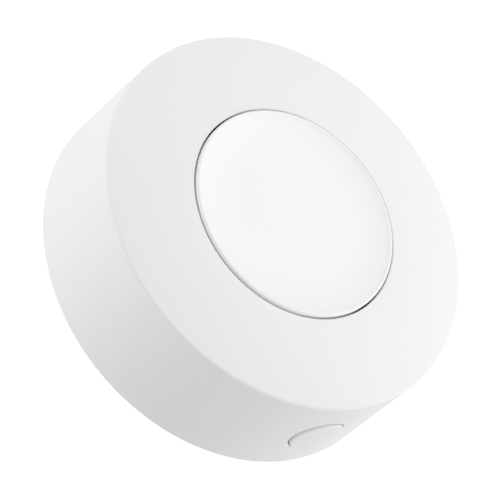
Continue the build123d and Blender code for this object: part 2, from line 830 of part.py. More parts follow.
# Negative contact: a strip soldered to the board that bows down on to the cell's cap
with BuildPart() as negative_contact:
    with BuildSketch(Plane.XZ):
        with BuildLine():
            FilletPolyline(
                (-negative_half_length, board_base),
                (-negative_knee_half, board_base),
                (-negative_pad_half, cell_top + spring_thickness),
                (negative_pad_half, cell_top + spring_thickness),
                (negative_knee_half, board_base),
                (negative_half_length, board_base),
                radius=spring_bend,
            )
            offset(amount=spring_thickness, side=Side.RIGHT)
        make_face()
    extrude(amount=spring_width / 2, both=True)
negative_contact.part.label = "negative_contact"
export_step(negative_contact.part, "parts/negative_contact.step")


# Positive contact: a leg down from the board whose bow presses on the side of the can
touch_reach = cell_radius + positive_touch_gap
leg_reach = cell_radius + positive_leg_reach
touch_middle = (cell_base + cell_top) / 2
touch_top = touch_middle + positive_touch_length
with BuildPart() as positive_contact:
    with BuildSketch(Plane.XZ):
        with BuildLine():
            FilletPolyline(
                (-leg_reach - positive_foot_length, board_base),
                (-leg_reach, board_base),
                (-leg_reach, touch_top + positive_bow_height),
                (-touch_reach, touch_top),
                (-touch_reach, touch_middle),
                (-touch_reach - positive_tip_reach, touch_middle - positive_tip_height),
                radius=spring_bend,
            )
            offset(amount=spring_thickness, side=Side.RIGHT)
        make_face()
    extrude(amount=spring_width / 2, both=True)
positive_contact.part.label = "positive_contact"
export_step(positive_contact.part, "parts/positive_contact.step")


def on_board(shares):
    # A place on the board's front, from shares of its radius
    return (board_radius * shares[0], board_radius * shares[1])


def chip_body(shares, size):
    # Moulded block with broken top edges and a dimple beside its first pin
    length, width, height = size
    with BuildPart() as chip:
        with BuildSketch(Plane.XY.offset(board_top)):
            with Locations(on_board(shares)):
                Rectangle(length, width)
        extrude(amount=height)
        chamfer(chip.edges().group_by(Axis.Z)[-1], length=chip_edge)
        across, along = on_board(shares)
        mark_across = across - length / 2 + pin_mark_diameter
        mark_along = along + width / 2 - pin_mark_diameter
        with BuildSketch(Plane.XY.offset(board_top + height)):
            with Locations((mark_across, mark_along)):
                Circle(pin_mark_diameter / 2)
        extrude(amount=-pin_mark_depth, mode=Mode.SUBTRACT)
    return chip


def end_capped(places, size, turned):
    # Small two ended parts, each with a slightly larger metal end at both sides
    length, width, height = size
    cap_length = length * terminal_share
    with BuildPart() as group:
        with BuildSketch(Plane.XY.offset(board_top)):
            for shares in places:
                with Locations(Location((*on_board(shares), 0), turned)):
                    Rectangle(length - cap_length, width - 2 * terminal_lip)
        extrude(amount=height - terminal_lip)
        with BuildSketch(Plane.XY.offset(board_top)):
            for shares in places:
                with Locations(Location((*on_board(shares), 0), turned)):
                    with Locations(*[(side * (length - cap_length) / 2, 0) for side in (-1, 1)]):
                        Rectangle(cap_length, width)
        extrude(amount=height)
    return group


radio_chip = chip_body(radio_chip_shares, radio_chip_size)
radio_chip.part.label = "radio_chip"
export_step(radio_chip.part, "parts/radio_chip.step")

bulk_capacitor = chip_body(bulk_capacitor_shares, bulk_capacitor_size)
bulk_capacitor.part.label = "bulk_capacitor"
export_step(bulk_capacitor.part, "parts/bulk_capacitor.step")

# Crystal: low metal can on a ceramic base
crystal_length, crystal_width, crystal_height = crystal_size
with BuildPart() as crystal:
    with BuildSketch(Plane.XY.offset(board_top)):
        with Locations(on_board(crystal_shares)):
            Rectangle(crystal_length, crystal_width)
    extrude(amount=crystal_height / 2)
    with BuildSketch(Plane.XY.offset(board_top + crystal_height / 2)):
        with Locations(on_board(crystal_shares)):
            RectangleRounded(
                crystal_length - 2 * chip_edge, crystal_width - 2 * chip_edge, 2 * chip_edge
            )
    extrude(amount=crystal_height / 2)
crystal.part.label = "crystal"
export_step(crystal.part, "parts/crystal.step")

chip_antenna = end_capped([antenna_shares], antenna_size, quarter_turn)
chip_antenna.part.label = "chip_antenna"
export_step(chip_antenna.part, "parts/chip_antenna.step")

chip_capacitors = end_capped(capacitor_shares, capacitor_size, quarter_turn)
chip_capacitors.part.label = "chip_capacitors"
export_step(chip_capacitors.part, "parts/chip_capacitors.step")

chip_resistors = end_capped(resistor_shares, resistor_size, quarter_turn)
chip_resistors.part.label = "chip_resistors"
export_step(chip_resistors.part, "parts/chip_resistors.step")

chip_inductor = end_capped([inductor_shares], inductor_size, 0)
chip_inductor.part.label = "chip_inductor"
export_step(chip_inductor.part, "parts/chip_inductor.step")

# Status light, which glows through the translucent cap
led_length, led_width, led_height = led_size
with BuildPart() as status_led:
    with BuildSketch(Plane.XY.offset(board_top)):
        with Locations(on_board(led_shares)):
            Rectangle(led_length, led_width)
    extrude(amount=led_height - lens_height)
    with BuildSketch(Plane.XY.offset(board_top + led_height - lens_height)):
        with Locations(on_board(led_shares)):
            Circle(lens_diameter / 2)
    extrude(amount=lens_height)
status_led.part.label = "status_led"
export_step(status_led.part, "parts/status_led.step")


# Frame screws: pan heads under the frame's floor, shanks through the board into the bosses
with BuildPart() as frame_screws:
    with BuildSketch(Plane.XY.offset(frame_floor_base)):
        with screw_places:
            Circle(screw_head_diameter / 2)
    extrude(amount=-screw_head_height)
    fillet(frame_screws.edges().group_by(Axis.Z)[0], radius=screw_head_round)
    with BuildSketch(Plane.XY.offset(frame_floor_base)):
        with screw_places:
            Circle(screw_shank_diameter / 2)
    extrude(amount=screw_length)
    chamfer(frame_screws.edges().group_by(Axis.Z)[-1], length=screw_tip_length)
    with BuildSketch(Plane.XY.offset(frame_floor_base - screw_head_height)):
        with screw_places:
            Rectangle(recess_length, recess_width)
            Rectangle(recess_width, recess_length)
    extrude(amount=recess_depth, mode=Mode.SUBTRACT)
frame_screws.part.label = "frame_screws"
export_step(frame_screws.part, "parts/frame_screws.step")
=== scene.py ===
import json
import math
from contextlib import contextmanager

import bmesh
import bpy
from mathutils import Matrix, Vector

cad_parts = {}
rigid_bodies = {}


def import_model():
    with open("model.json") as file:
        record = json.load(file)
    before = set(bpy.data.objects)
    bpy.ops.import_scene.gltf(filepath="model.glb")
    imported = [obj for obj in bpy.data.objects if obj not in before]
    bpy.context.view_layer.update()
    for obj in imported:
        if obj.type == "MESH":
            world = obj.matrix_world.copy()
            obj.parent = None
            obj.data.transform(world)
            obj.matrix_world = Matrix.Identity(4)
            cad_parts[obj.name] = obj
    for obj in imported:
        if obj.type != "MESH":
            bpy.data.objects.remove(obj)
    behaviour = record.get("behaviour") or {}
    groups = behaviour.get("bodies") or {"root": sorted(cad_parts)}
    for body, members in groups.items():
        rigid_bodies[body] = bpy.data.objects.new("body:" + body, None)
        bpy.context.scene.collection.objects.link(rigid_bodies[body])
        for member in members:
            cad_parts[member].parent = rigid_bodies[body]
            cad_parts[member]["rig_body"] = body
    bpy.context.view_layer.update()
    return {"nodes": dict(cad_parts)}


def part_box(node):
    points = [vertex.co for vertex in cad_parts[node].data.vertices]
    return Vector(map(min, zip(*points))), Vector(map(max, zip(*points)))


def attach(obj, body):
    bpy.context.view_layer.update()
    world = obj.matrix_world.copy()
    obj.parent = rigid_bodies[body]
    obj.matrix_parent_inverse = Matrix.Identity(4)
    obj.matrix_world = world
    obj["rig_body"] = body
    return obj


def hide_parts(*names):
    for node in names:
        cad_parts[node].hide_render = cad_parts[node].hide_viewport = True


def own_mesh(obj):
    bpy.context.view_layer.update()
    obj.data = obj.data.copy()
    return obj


# Smart button: a white round push button with a dished cap and a small side key
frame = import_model()
mm = 0.001
fullTurn = 2 * math.pi
quarterTurn = math.pi / 2
print("frame loaded with", len(frame["nodes"]), "nodes")

# What the outside pieces share, in millimetres, read from the frame
outerRadius = -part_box("front_housing")[0].x / mm  # the least of the four ways across
keyFaceRadius = -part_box("side_button")[0].y / mm  # the side key stands a little out of the wall
turnSteps = 320  # faces round the button, a multiple of 4 so that the side key's axis meets a column

# What the modelling shares, in millimetres and degrees
mergeReach = 0.0005  # vertices nearer than this become one
cornerReach = 0.01  # a corner is looked for within this
overrun = 1  # how far a cutter reaches outside what it cuts
sink = 0.2  # how far an added solid reaches into its neighbour
sharpAngle = 32  # edges that turn by more than this stay sharp


# Modelling helpers

def setMode(mode):
    bpy.ops.object.mode_set(mode=mode)


def deselectAll():
    if bpy.context.object and bpy.context.object.mode != "OBJECT":
        setMode("OBJECT")
    bpy.ops.object.select_all(action="DESELECT")


def activate(piece):
    deselectAll()
    piece.select_set(True)
    bpy.context.view_layer.objects.active = piece


def pickAll(action="SELECT"):
    bpy.ops.mesh.select_all(action=action)


def pickBy(kind):
    bpy.ops.mesh.select_mode(type=kind)


def editNew(name):
    # Names the primitive that was just added, and opens it for editing
    piece = bpy.context.object
    piece.name = name
    setMode("EDIT")
    return piece


@contextmanager
def openMesh():
    # The mesh that is being edited, written back afterwards
    mesh = bmesh.from_edit_mesh(bpy.context.object.data)
    yield mesh
    bmesh.update_edit_mesh(bpy.context.object.data)


def pickVerts(test):
    # Selects the vertices that pass a test on their place, and no others
    with openMesh() as mesh:
        for vert in mesh.verts:
            vert.select = test(vert)
        mesh.select_flush_mode()


def pickOpenEdges(test=lambda middle: True):
    # Selects the edges with a face on one side only, whose middles pass a test
    pickAll("DESELECT")
    with openMesh() as mesh:
        for edge in mesh.edges:
            if edge.is_boundary and test((edge.verts[0].co + edge.verts[1].co) / 2):
                edge.select_set(True)


def drawOutline(name, points, closed=True):
    # A plane shrinks to one vertex, which is extruded along the outline, all in the XZ plane
    deselectAll()
    bpy.ops.mesh.primitive_plane_add(size=mm)
    piece = editNew(name)
    pickBy("VERT")
    bpy.ops.mesh.merge(type="CENTER")
    here = Vector((points[0][0], 0, points[0][1])) * mm
    bpy.ops.transform.translate(value=here)
    for across, up in points[1:]:
        there = Vector((across, 0, up)) * mm
        bpy.ops.mesh.extrude_vertices_move(TRANSFORM_OT_translate={"value": there - here})
        here = there
    if closed:
        pickVerts(lambda vert: len(vert.link_edges) == 1)
        bpy.ops.mesh.edge_face_add()
    return piece


def roundCorner(across, up, radius, turn, steps):
    # Bevels the outline's vertex at a corner, where the outline turns by that many degrees
    corner = Vector((across, 0, up)) * mm
    pickVerts(lambda vert: (vert.co - corner).length < cornerReach * mm)
    reach = radius * math.tan(math.radians(turn) / 2) * mm
    bpy.ops.mesh.bevel(offset=reach, segments=steps, affect="VERTICES")


def closeSeams():
    pickAll()
    bpy.ops.mesh.remove_doubles(threshold=mergeReach * mm)
    bpy.ops.mesh.normals_make_consistent(inside=False)


def turnRound(steps=turnSteps):
    # Spins the outline once round the button's axis
    pickAll()
    bpy.ops.mesh.spin(steps=steps, angle=fullTurn, axis=(0, 0, 1))
    closeSeams()


def around(pitch, angle):
    # The place at a distance from the button's axis, at so many degrees
    return pitch * math.cos(math.radians(angle)), pitch * math.sin(math.radians(angle))


def arcCentre(start, end, radius, side=1):
    # The centre of an arc between two ends, which bulges upwards, or downwards with side=-1
    run, rise = end[0] - start[0], end[1] - start[1]
    chord = math.hypot(run, rise)
    share = math.sqrt(radius**2 - (chord / 2) ** 2) / chord * (side if run > 0 else -side)
    return (start[0] + end[0]) / 2 + rise * share, (start[1] + end[1]) / 2 - run * share


def arcPoints(start, end, radius, steps, side=1, clear=0):
    # The points between two ends of an arc, less those so near its end that they hinder a rounding
    centre = arcCentre(start, end, radius, side)
    first = math.atan2(start[1] - centre[1], start[0] - centre[0])
    last = math.atan2(end[1] - centre[1], end[0] - centre[0])
    points = []
    for step in range(1, steps):
        angle = first + (last - first) * step / steps
        point = (centre[0] + radius * math.cos(angle), centre[1] + radius * math.sin(angle))
        if math.dist(point, end) > clear:
            points.append(point)
    return points


def rectangle(inner, outer, low, high):
    return [(inner, low), (outer, low), (outer, high), (inner, high)]


def sectorSolid(name, points, middleAngle, sweep, steps=12):
    # A closed outline filled, turned to its start and spun part of the way round
    piece = drawOutline(name, points)
    pickAll()
    bpy.ops.mesh.edge_face_add()
    startAngle = math.radians(middleAngle - sweep / 2)
    bpy.ops.transform.rotate(value=-startAngle, orient_axis="Z", center_override=(0, 0, 0))
    bpy.ops.mesh.spin(steps=steps, angle=math.radians(sweep), axis=(0, 0, -1))
    closeSeams()
    return piece


def extrudeUp(height):
    bpy.ops.mesh.extrude_region_move(TRANSFORM_OT_translate={"value": (0, 0, height * mm)})


def roundSolid(name, radius, low, high, place=(0, 0), vertices=48):
    # A bar along Z: a circle filled and extruded
    deselectAll()
    location = Vector((*place, low)) * mm
    bpy.ops.mesh.primitive_circle_add(
        vertices=vertices, radius=radius * mm, fill_type="NGON", location=location
    )
    piece = editNew(name)
    extrudeUp(high - low)
    closeSeams()
    return piece


def boxSolid(name, size, centre):
    # A flat plane at the low end, extruded up
    deselectAll()
    location = Vector((centre[0], centre[1], centre[2] - size[2] / 2)) * mm
    bpy.ops.mesh.primitive_plane_add(size=mm, location=location)
    piece = editNew(name)
    bpy.ops.transform.resize(value=(size[0], size[1], 1))
    extrudeUp(size[2])
    closeSeams()
    return piece


def settle(piece):
    # The piece's place goes into its mesh, so that its object sits at the origin
    activate(piece)
    bpy.ops.object.transform_apply(location=True, rotation=True, scale=True)


def combine(piece, others, operation):
    # Adds or cuts several closed solids, one after another, and removes them
    for other in others:
        settle(other)
        activate(piece)
        modifier = piece.modifiers.new(other.name, "BOOLEAN")
        modifier.operation = operation
        modifier.solver = "EXACT"
        modifier.object = other
        bpy.ops.object.modifier_apply(modifier=modifier.name)
        bpy.data.objects.remove(other)


def finishPiece(piece, body, node, slot, finish):
    # Cleans the mesh, shades it smooth up to an angle, gives it its finish, ties the piece to its body and
    # hides its node
    settle(piece)
    setMode("EDIT")
    pickBy("VERT")
    pickAll()
    bpy.ops.mesh.remove_doubles(threshold=mergeReach * mm)
    bpy.ops.mesh.dissolve_degenerate(threshold=mergeReach * mm)
    setMode("OBJECT")
    bpy.ops.object.shade_smooth_by_angle(angle=math.radians(sharpAngle))
    weighted = piece.modifiers.new("Weighted normals", "WEIGHTED_NORMAL")
    weighted.keep_sharp = True
    bpy.ops.object.modifier_apply(modifier=weighted.name)
    piece.data.materials.clear()
    piece.data.materials.append(finishes[finish])
    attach(piece, body)
    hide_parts(node)
    mesh = bmesh.new()
    mesh.from_mesh(piece.data)
    openEdges = sum(len(edge.link_faces) != 2 for edge in mesh.edges)
    triangles = sum(len(face.verts) - 2 for face in mesh.faces)
    mesh.free()
    print("made", piece.name, "with", triangles, "triangles and", openEdges, "open edges")


# Material helpers

def newMaterial(name):
    material = bpy.data.materials.new(name)
    material.use_nodes = True
    return material, material.node_tree


def wire(tree, value, socket):
    # A socket gets a link from another socket, or a plain value
    if isinstance(value, bpy.types.NodeSocket):
        tree.links.new(value, socket)
    else:
        socket.default_value = value


def addNode(tree, kind, inputs={}, **settings):
    # A node with its settings, and with its inputs by name or number
    node = tree.nodes.new("ShaderNode" + kind)
    for label, value in settings.items():
        setattr(node, label, value)
    for label, value in inputs.items():
        wire(tree, value, node.inputs[label])
    return node


def overObject(tree):
    return addNode(tree, "TexCoord").outputs["Object"]


def separate(tree, value, kind="XYZ"):
    # The three parts of a vector, or of a colour
    return addNode(tree, "Separate" + kind, {0: value}).outputs


def calculate(tree, operation, *values):
    return addNode(tree, "Math", dict(enumerate(values)), operation=operation).outputs[0]


def highest(tree, value, *others):
    for other in others:
        value = calculate(tree, "MAXIMUM", value, other)
    return value


def calculateVector(tree, operation, *values):
    node = addNode(tree, "VectorMath", dict(enumerate(values)), operation=operation)
    return node.outputs["Value" if operation in ("LENGTH", "DISTANCE") else "Vector"]


def fromAxis(tree, place):
    # Distance of a place from the button's axis
    return calculateVector(tree, "LENGTH", calculateVector(tree, "MULTIPLY", place, (1, 1, 0)))


def blendColours(tree, mask, first, second):
    inputs = {"Factor": mask, "A": first, "B": second}
    return addNode(tree, "Mix", inputs, data_type="RGBA").outputs["Result"]


def noiseOver(tree, vector, scale, detail, roughness=0.5):
    inputs = {"Vector": vector, "Scale": scale, "Detail": detail, "Roughness": roughness}
    return addNode(tree, "TexNoise", inputs).outputs["Fac"]


def spreadRange(tree, value, fromRange, toLow=0.0, toHigh=1.0):
    inputs = {"Value": value, "To Min": toLow, "To Max": toHigh}
    inputs.update({"From Min": fromRange[0], "From Max": fromRange[1]})
    return addNode(tree, "MapRange", inputs).outputs["Result"]


def opaque(colour):
    # A grey is one number
    return (*colour, 1) if isinstance(colour, tuple) else (colour, colour, colour, 1)


def newGroup(name, inputs):
    # An effect with named inputs, that gives a colour, a roughness and a height
    group = bpy.data.node_groups.new(name, "ShaderNodeTree")
    outputs = {"Colour": "Color", "Roughness": "Float", "Height": "Float"}
    for way, sockets in (("INPUT", inputs), ("OUTPUT", outputs)):
        for label, kind in sockets.items():
            group.interface.new_socket(name=label, in_out=way, socket_type="NodeSocket" + kind)
    return group, group.nodes.new("NodeGroupInput").outputs


def finishGroup(group, *values):
    leave = group.nodes.new("NodeGroupOutput")
    for value, socket in zip(values, leave.inputs):
        wire(group, value, socket)
    return group


def placeGroup(tree, group, *values):
    return addNode(tree, "Group", dict(enumerate(values)), node_tree=group).outputs


def setShader(tree, values, height, depth, strength=1.0):
    # The shader's inputs by name, and a height as a bump of so many millimetres
    bump = addNode(tree, "Bump", {"Height": height, "Distance": depth * mm, "Strength": strength})
    shader = tree.nodes["Principled BSDF"]
    for label, value in {**values, "Normal": bump.outputs["Normal"]}.items():
        wire(tree, value, shader.inputs[label])


def setEffect(tree, effect, depth, values={}):
    # Wires an effect to the shader, with the other inputs or another colour
    plain = {"Base Color": effect["Colour"], "Roughness": effect["Roughness"]}
    setShader(tree, {**plain, **values}, effect["Height"], depth, effectStrength)


effectStrength = 0.6  # of the effects' bumps
white = (1, 1, 1, 1)
grainNoise = {"detail": 2.0, "roughness": 0.6, "clouds": 90.0, "cloudDetail": 3.0}
metalNoise = {
    "lineDetail": 3.0, "lineRoughness": 0.65, "smearDetail": 4.0, "smearRoughness": 0.6,
    "toneRange": (0.1, 0.45), "smearRange": (0.3, 0.7),
}


def makeGrainGroup():
    # Spark eroded mould texture: fine grain over soft clouds of tone
    group, entry = newGroup("mouldedGrain", {
        "Pale": "Color", "Dark": "Color", "Grain per metre": "Float", "Clouds per metre": "Float",
        "Roughness low": "Float", "Roughness high": "Float",
    })
    place = overObject(group)
    grain = noiseOver(group, place, entry["Grain per metre"], grainNoise["detail"], grainNoise["roughness"])
    clouds = noiseOver(group, place, entry["Clouds per metre"], grainNoise["cloudDetail"])
    colour = blendColours(group, clouds, entry["Dark"], entry["Pale"])
    rough = spreadRange(group, grain, (0.0, 1.0), entry["Roughness low"], entry["Roughness high"])
    return finishGroup(group, colour, rough, grain)


def makeMetalGroup():
    # Rolled or turned sheet: fine lines along it or round the axis, and smears that dull it
    group, entry = newGroup("workedMetal", {
        "Pale": "Color", "Dark": "Color", "Lines per metre": "Vector", "Turned": "Float",
        "Smears per metre": "Float", "Roughness low": "Float", "Roughness high": "Float",
    })
    look = metalNoise
    place = overObject(group)
    turned = {"Y": fromAxis(group, place), "Z": separate(group, place)["Z"]}
    turned = addNode(group, "CombineXYZ", turned).outputs[0]
    choice = addNode(group, "Mix", {"Factor": entry["Turned"], 4: place, 5: turned}, data_type="VECTOR")
    stretched = calculateVector(group, "MULTIPLY", choice.outputs[1], entry["Lines per metre"])
    lines = noiseOver(group, stretched, 1.0, look["lineDetail"], look["lineRoughness"])
    smears = noiseOver(group, place, entry["Smears per metre"], look["smearDetail"], look["smearRoughness"])
    tone = spreadRange(group, calculate(group, "MULTIPLY", lines, smears), look["toneRange"])
    colour = blendColours(group, tone, entry["Dark"], entry["Pale"])
    rough = spreadRange(group, smears, look["smearRange"], entry["Roughness low"], entry["Roughness high"])
    return finishGroup(group, colour, rough, lines)


grainGroup = makeGrainGroup()
metalGroup = makeMetalGroup()

plasticIor = 1.49
plastics = {  # pale and dark tone, grains per metre, range of roughness, bump in millimetres, gloss
    "housingWhite": (0.925, 0.905, 7000, (0.48, 0.58), 0.003, 0.3),
    "capWhite": (0.945, 0.93, 12000, (0.36, 0.44), 0.0015, 0.4),
    "frameWhite": ((0.87, 0.87, 0.86), (0.80, 0.80, 0.79), 5200, (0.4, 0.56), 0.004, 0.5),
    "switchBlack": (0.075, 0.035, 16000, (0.4, 0.58), 0.003, 0.5),
    "chipBlack": ((0.055, 0.055, 0.06), (0.026, 0.026, 0.03), 24000, (0.5, 0.68), 0.003, 0.5),
    "gasketNatural": ((0.84, 0.84, 0.81), (0.72, 0.72, 0.68), 9000, (0.3, 0.42), 0.002, 0.5),
    "ceramicBlue": ((0.57, 0.67, 0.75), (0.44, 0.54, 0.63), 15000, (0.18, 0.34), 0.0015, 0.5),
    "ceramicTan": ((0.66, 0.55, 0.42), (0.53, 0.43, 0.32), 15000, (0.3, 0.46), 0.002, 0.5),
}
metals = {  # pale and dark tone, lines per metre, 1 if turned, smears per metre, roughness, bump
    "cellSteel": ((0.80, 0.80, 0.79), (0.62, 0.62, 0.61), (1, 14000, 9000), 1, 220, (0.2, 0.36), 0.0012),
    "switchSteel": ((0.79, 0.79, 0.78), (0.60, 0.60, 0.59), (800, 24000, 24000), 0, 500, (0.24, 0.4), 0.001),
    "tinnedMetal": ((0.84, 0.84, 0.82), (0.66, 0.66, 0.63), (9000, 9000, 9000), 0, 900, (0.26, 0.5), 0.002),
    "springMetal": ((0.85, 0.82, 0.73), (0.68, 0.65, 0.55), (700, 26000, 700), 0, 350, (0.2, 0.34), 0.0012),
    "screwSteel": ((0.74, 0.75, 0.77), (0.55, 0.56, 0.58), (9000, 9000, 2600), 0, 700, (0.24, 0.42), 0.0015),
    "anodeMetal": ((0.68, 0.68, 0.67), 0.50, (2600, 2600, 2600), 0, 420, (0.42, 0.62), 0.006),
}


def grainEffect(tree, pale, dark, grain, rough, clouds=grainNoise["clouds"]):
    return placeGroup(tree, grainGroup, opaque(pale), opaque(dark), grain, clouds, *rough)


def metalEffect(tree, pale, dark, lines, turned, smears, rough):
    return placeGroup(tree, metalGroup, opaque(pale), opaque(dark), lines, turned, smears, *rough)


def makePlastic(name, pale, dark, grain, rough, depth, gloss):
    # Moulded plastic or glazed ceramic
    material, tree = newMaterial(name)
    effect = grainEffect(tree, pale, dark, grain, rough)
    setEffect(tree, effect, depth, {"IOR": plasticIor, "Specular IOR Level": gloss})
    return material


def makeMetal(name, pale, dark, lines, turned, smears, rough, depth):
    material, tree = newMaterial(name)
    effect = metalEffect(tree, pale, dark, lines, turned, smears, rough)
    setEffect(tree, effect, depth, {"Metallic": 1.0})
    return material


finishes = {name: makePlastic(name, *look) for name, look in plastics.items()}
finishes.update({name: makeMetal(name, *look) for name, look in metals.items()})
print("made", len(finishes), "shared materials")


# Front housing

housing = {
    "lipHeight": 15.5, "wallTop": 13.86, "wall": 1.6,
    "openingRadius": 12.6, "collarWall": 1.3, "collarBase": 12.25,
    "frontRadius": 51.0,  # the front face is one shallow arc
    "arcSteps": 24, "innerArcSteps": 14,
    "rearRound": (0.2, 90, 4),  # each round's radius, its turn in degrees and its steps
    "edgeRound": (0.4, 75, 7),
    "lipRound": (0.12, 94, 6),
    "innerRound": (0.4, 77, 4),
    "keyHeight": 6.8, "keyHoleRadius": 3.15, "keyHoleRound": 0.12, "keyHoleSteps": 4,
    "patchColumns": 22,  # faces of the wall that the key hole's rings take the place of
    "patchHalf": 4.8, "patchSlack": 0.1, "patchCuts": 4,
    "bossRadius": 2.2, "bossPitch": 16.6, "bossBase": 9.9, "bossAngles": (90, 210, 330),
    "pilotRadius": 0.85, "pilotDepth": 2.7,
    "grooveReach": 0.5, "grooveHeight": 1.8, "grooveAngle": 90, "grooveSweep": 8.4,
    "markRadius": 0.4, "markDepth": 0.25, "markPitch": 21.7, "markAngles": (0, -30), "markVertices": 40,
}


def frontHeight(radius):
    # Height of the housing's front arc at a distance from the axis
    start = (outerRadius, housing["wallTop"])
    end = (housing["openingRadius"], housing["lipHeight"])
    across, up = arcCentre(start, end, housing["frontRadius"])
    return up + math.sqrt(housing["frontRadius"] ** 2 - (radius - across) ** 2)


def layOnWall(radius):
    # The selected vertices go on to a cylinder round the button's axis, straight along Y
    with openMesh() as mesh:
        for vert in mesh.verts:
            if vert.select:
                vert.co.y = -math.sqrt((radius * mm) ** 2 - vert.co.x**2)


def edgeRings(radius, rounding, wallRadius, steps, side):
    # The rings over the rounded edge of a key, or with side=-1 of a hole: radius and depth of each
    angles = [quarterTurn * step / steps for step in range(1, steps + 1)]
    return [(radius - side * rounding * (1 - math.sin(angle)), wallRadius - rounding * (1 - math.cos(angle)))
            for angle in angles]


def growRings(radius, rings, centre):
    # Extrudes the selected ring to each next radius, and lays it on the wall at its depth
    for newRadius, depthRadius in rings:
        bpy.ops.mesh.extrude_edges_move()
        share = newRadius / radius
        bpy.ops.transform.resize(value=(share, 1, share), center_override=centre)
        layOnWall(depthRadius)
        radius = newRadius


def cutKeyHole(innerRadius):
    # The wall opens in a square, and rings with a rounded edge lead to a round hole in it
    patchAngle = fullTurn / turnSteps * housing["patchColumns"] / 2
    low = (housing["keyHeight"] - housing["patchHalf"]) * mm
    high = (housing["keyHeight"] + housing["patchHalf"]) * mm
    with openMesh() as mesh:
        for face in mesh.faces:
            middle = face.calc_center_median()
            aside = abs(math.atan2(middle.x, -middle.y))
            outside = math.hypot(middle.x, middle.y) > (innerRadius - housing["patchSlack"]) * mm
            face.select = aside < patchAngle and low < middle.z < high and outside
    pickBy("FACE")
    bpy.ops.mesh.delete(type="FACE")
    pickBy("VERT")

    radius, rounding = housing["keyHoleRadius"], housing["keyHoleRound"]
    centre = (0, -outerRadius * mm, housing["keyHeight"] * mm)
    pickAll("DESELECT")
    bpy.ops.mesh.primitive_circle_add(
        vertices=4 * housing["patchColumns"], radius=(radius + rounding) * mm,
        location=centre, rotation=(quarterTurn, 0, 0),
    )
    layOnWall(outerRadius)
    rings = edgeRings(radius, rounding, outerRadius, housing["keyHoleSteps"], -1)
    rings += [(radius, (outerRadius + innerRadius) / 2), (radius, innerRadius)]
    growRings(radius + rounding, rings, centre)

    # Bridges from the rings to the openings in the outer and the inner wall
    split = (outerRadius + innerRadius) / 2 * mm
    for wallRadius, isOuter in ((outerRadius, True), (innerRadius, False)):
        pickOpenEdges(lambda middle: (math.hypot(middle.x, middle.y) > split) == isOuter)
        pickBy("EDGE")
        bpy.ops.mesh.bridge_edge_loops(number_cuts=housing["patchCuts"], interpolation="LINEAR")
        pickBy("VERT")
        layOnWall(wallRadius)
    closeSeams()


def makeHousing():
    innerRadius = outerRadius - housing["wall"]
    collarRadius = housing["openingRadius"] + housing["collarWall"]
    opening, lip, wallTop = housing["openingRadius"], housing["lipHeight"], housing["wallTop"]
    patchLow, patchHeight = housing["keyHeight"] - housing["patchHalf"], 2 * housing["patchHalf"]
    rows = [patchLow + patchHeight * row / housing["patchColumns"]
            for row in range(housing["patchColumns"] + 1)]
    collarTop = frontHeight(collarRadius) - housing["wall"]
    innerTop = frontHeight(innerRadius) - housing["wall"]
    frontArc = arcPoints((outerRadius, wallTop), (opening, lip), housing["frontRadius"], housing["arcSteps"])
    innerArc = arcPoints(
        (collarRadius, collarTop), (innerRadius, innerTop), housing["frontRadius"], housing["innerArcSteps"]
    )
    outline = [(innerRadius, 0), (outerRadius, 0)]
    outline += [(outerRadius, row) for row in rows]
    outline += [(outerRadius, wallTop)] + frontArc + [(opening, lip), (opening, housing["collarBase"])]
    outline += [(collarRadius, housing["collarBase"]), (collarRadius, collarTop)] + innerArc
    outline += [(innerRadius, innerTop)] + [(innerRadius, row) for row in reversed(rows)]
    piece = drawOutline("frontHousing", outline)
    roundCorner(outerRadius, 0, *housing["rearRound"])
    roundCorner(outerRadius, wallTop, *housing["edgeRound"])
    roundCorner(opening, lip, *housing["lipRound"])
    roundCorner(innerRadius, innerTop, *housing["innerRound"])
    turnRound()
    cutKeyHole(innerRadius)

    # Screw bosses, their pilot holes, the groove for the cap's key and the two dots
    bosses, cuts = [], []
    base = housing["bossBase"]
    bossTop = frontHeight(housing["bossPitch"] + housing["bossRadius"]) - housing["wall"] / 2
    for angle in housing["bossAngles"]:
        place = around(housing["bossPitch"], angle)
        bosses.append(roundSolid("boss", housing["bossRadius"], base, bossTop, place))
        pilotTop = base + housing["pilotDepth"]
        cuts.append(roundSolid("pilot", housing["pilotRadius"], base - overrun, pilotTop, place))
    for angle in housing["markAngles"]:
        place = around(housing["markPitch"], angle)
        cuts.append(roundSolid(
            "mark", housing["markRadius"], -overrun, housing["markDepth"], place, housing["markVertices"]
        ))
    inner, outer = opening - overrun, opening + housing["grooveReach"]
    low, high = housing["collarBase"] - overrun, housing["collarBase"] + housing["grooveHeight"]
    groove = rectangle(inner, outer, low, high)
    cuts.append(sectorSolid("groove", groove, housing["grooveAngle"], housing["grooveSweep"]))
    combine(piece, bosses, "UNION")
    combine(piece, cuts, "DIFFERENCE")
    finishPiece(piece, "case", "front_housing", "housing_white", "housingWhite")


makeHousing()


# Main button

cap = {
    "radius": 12.4, "underside": 13.88, "skirtWall": 1.0, "skirtBase": 12.4,
    "dishFlat": 7.0, "flatShares": (0, 0.25, 0.5, 0.75, 1), "dishFloor": 15.18,
    "dishEdge": 11.5,  # from there out the dish rises more steeply to its rim
    "dishRise": 0.42, "dishSteps": 18, "edgeSteps": 12,
    "rimRise": 0.695, "rimRound": 0.25, "rimSteps": 8,
    "bossRadius": 2.2, "bossBase": 12.6, "bossSink": 0.3,
    "ribWidth": 0.8, "ribDepth": 0.8,
    "hookAngles": (30, 150, 270), "hookSweep": 16, "hookTop": 12.15, "hookBase": 11.35,
    "hookReach": 0.9, "hookLead": 0.35,
    "slotSweep": 3, "slotSteps": 4, "slotDepth": 1.0,
    "keyAngle": 90, "keySweep": 6, "keyReach": 0.5, "keyTop": 13.85,
}


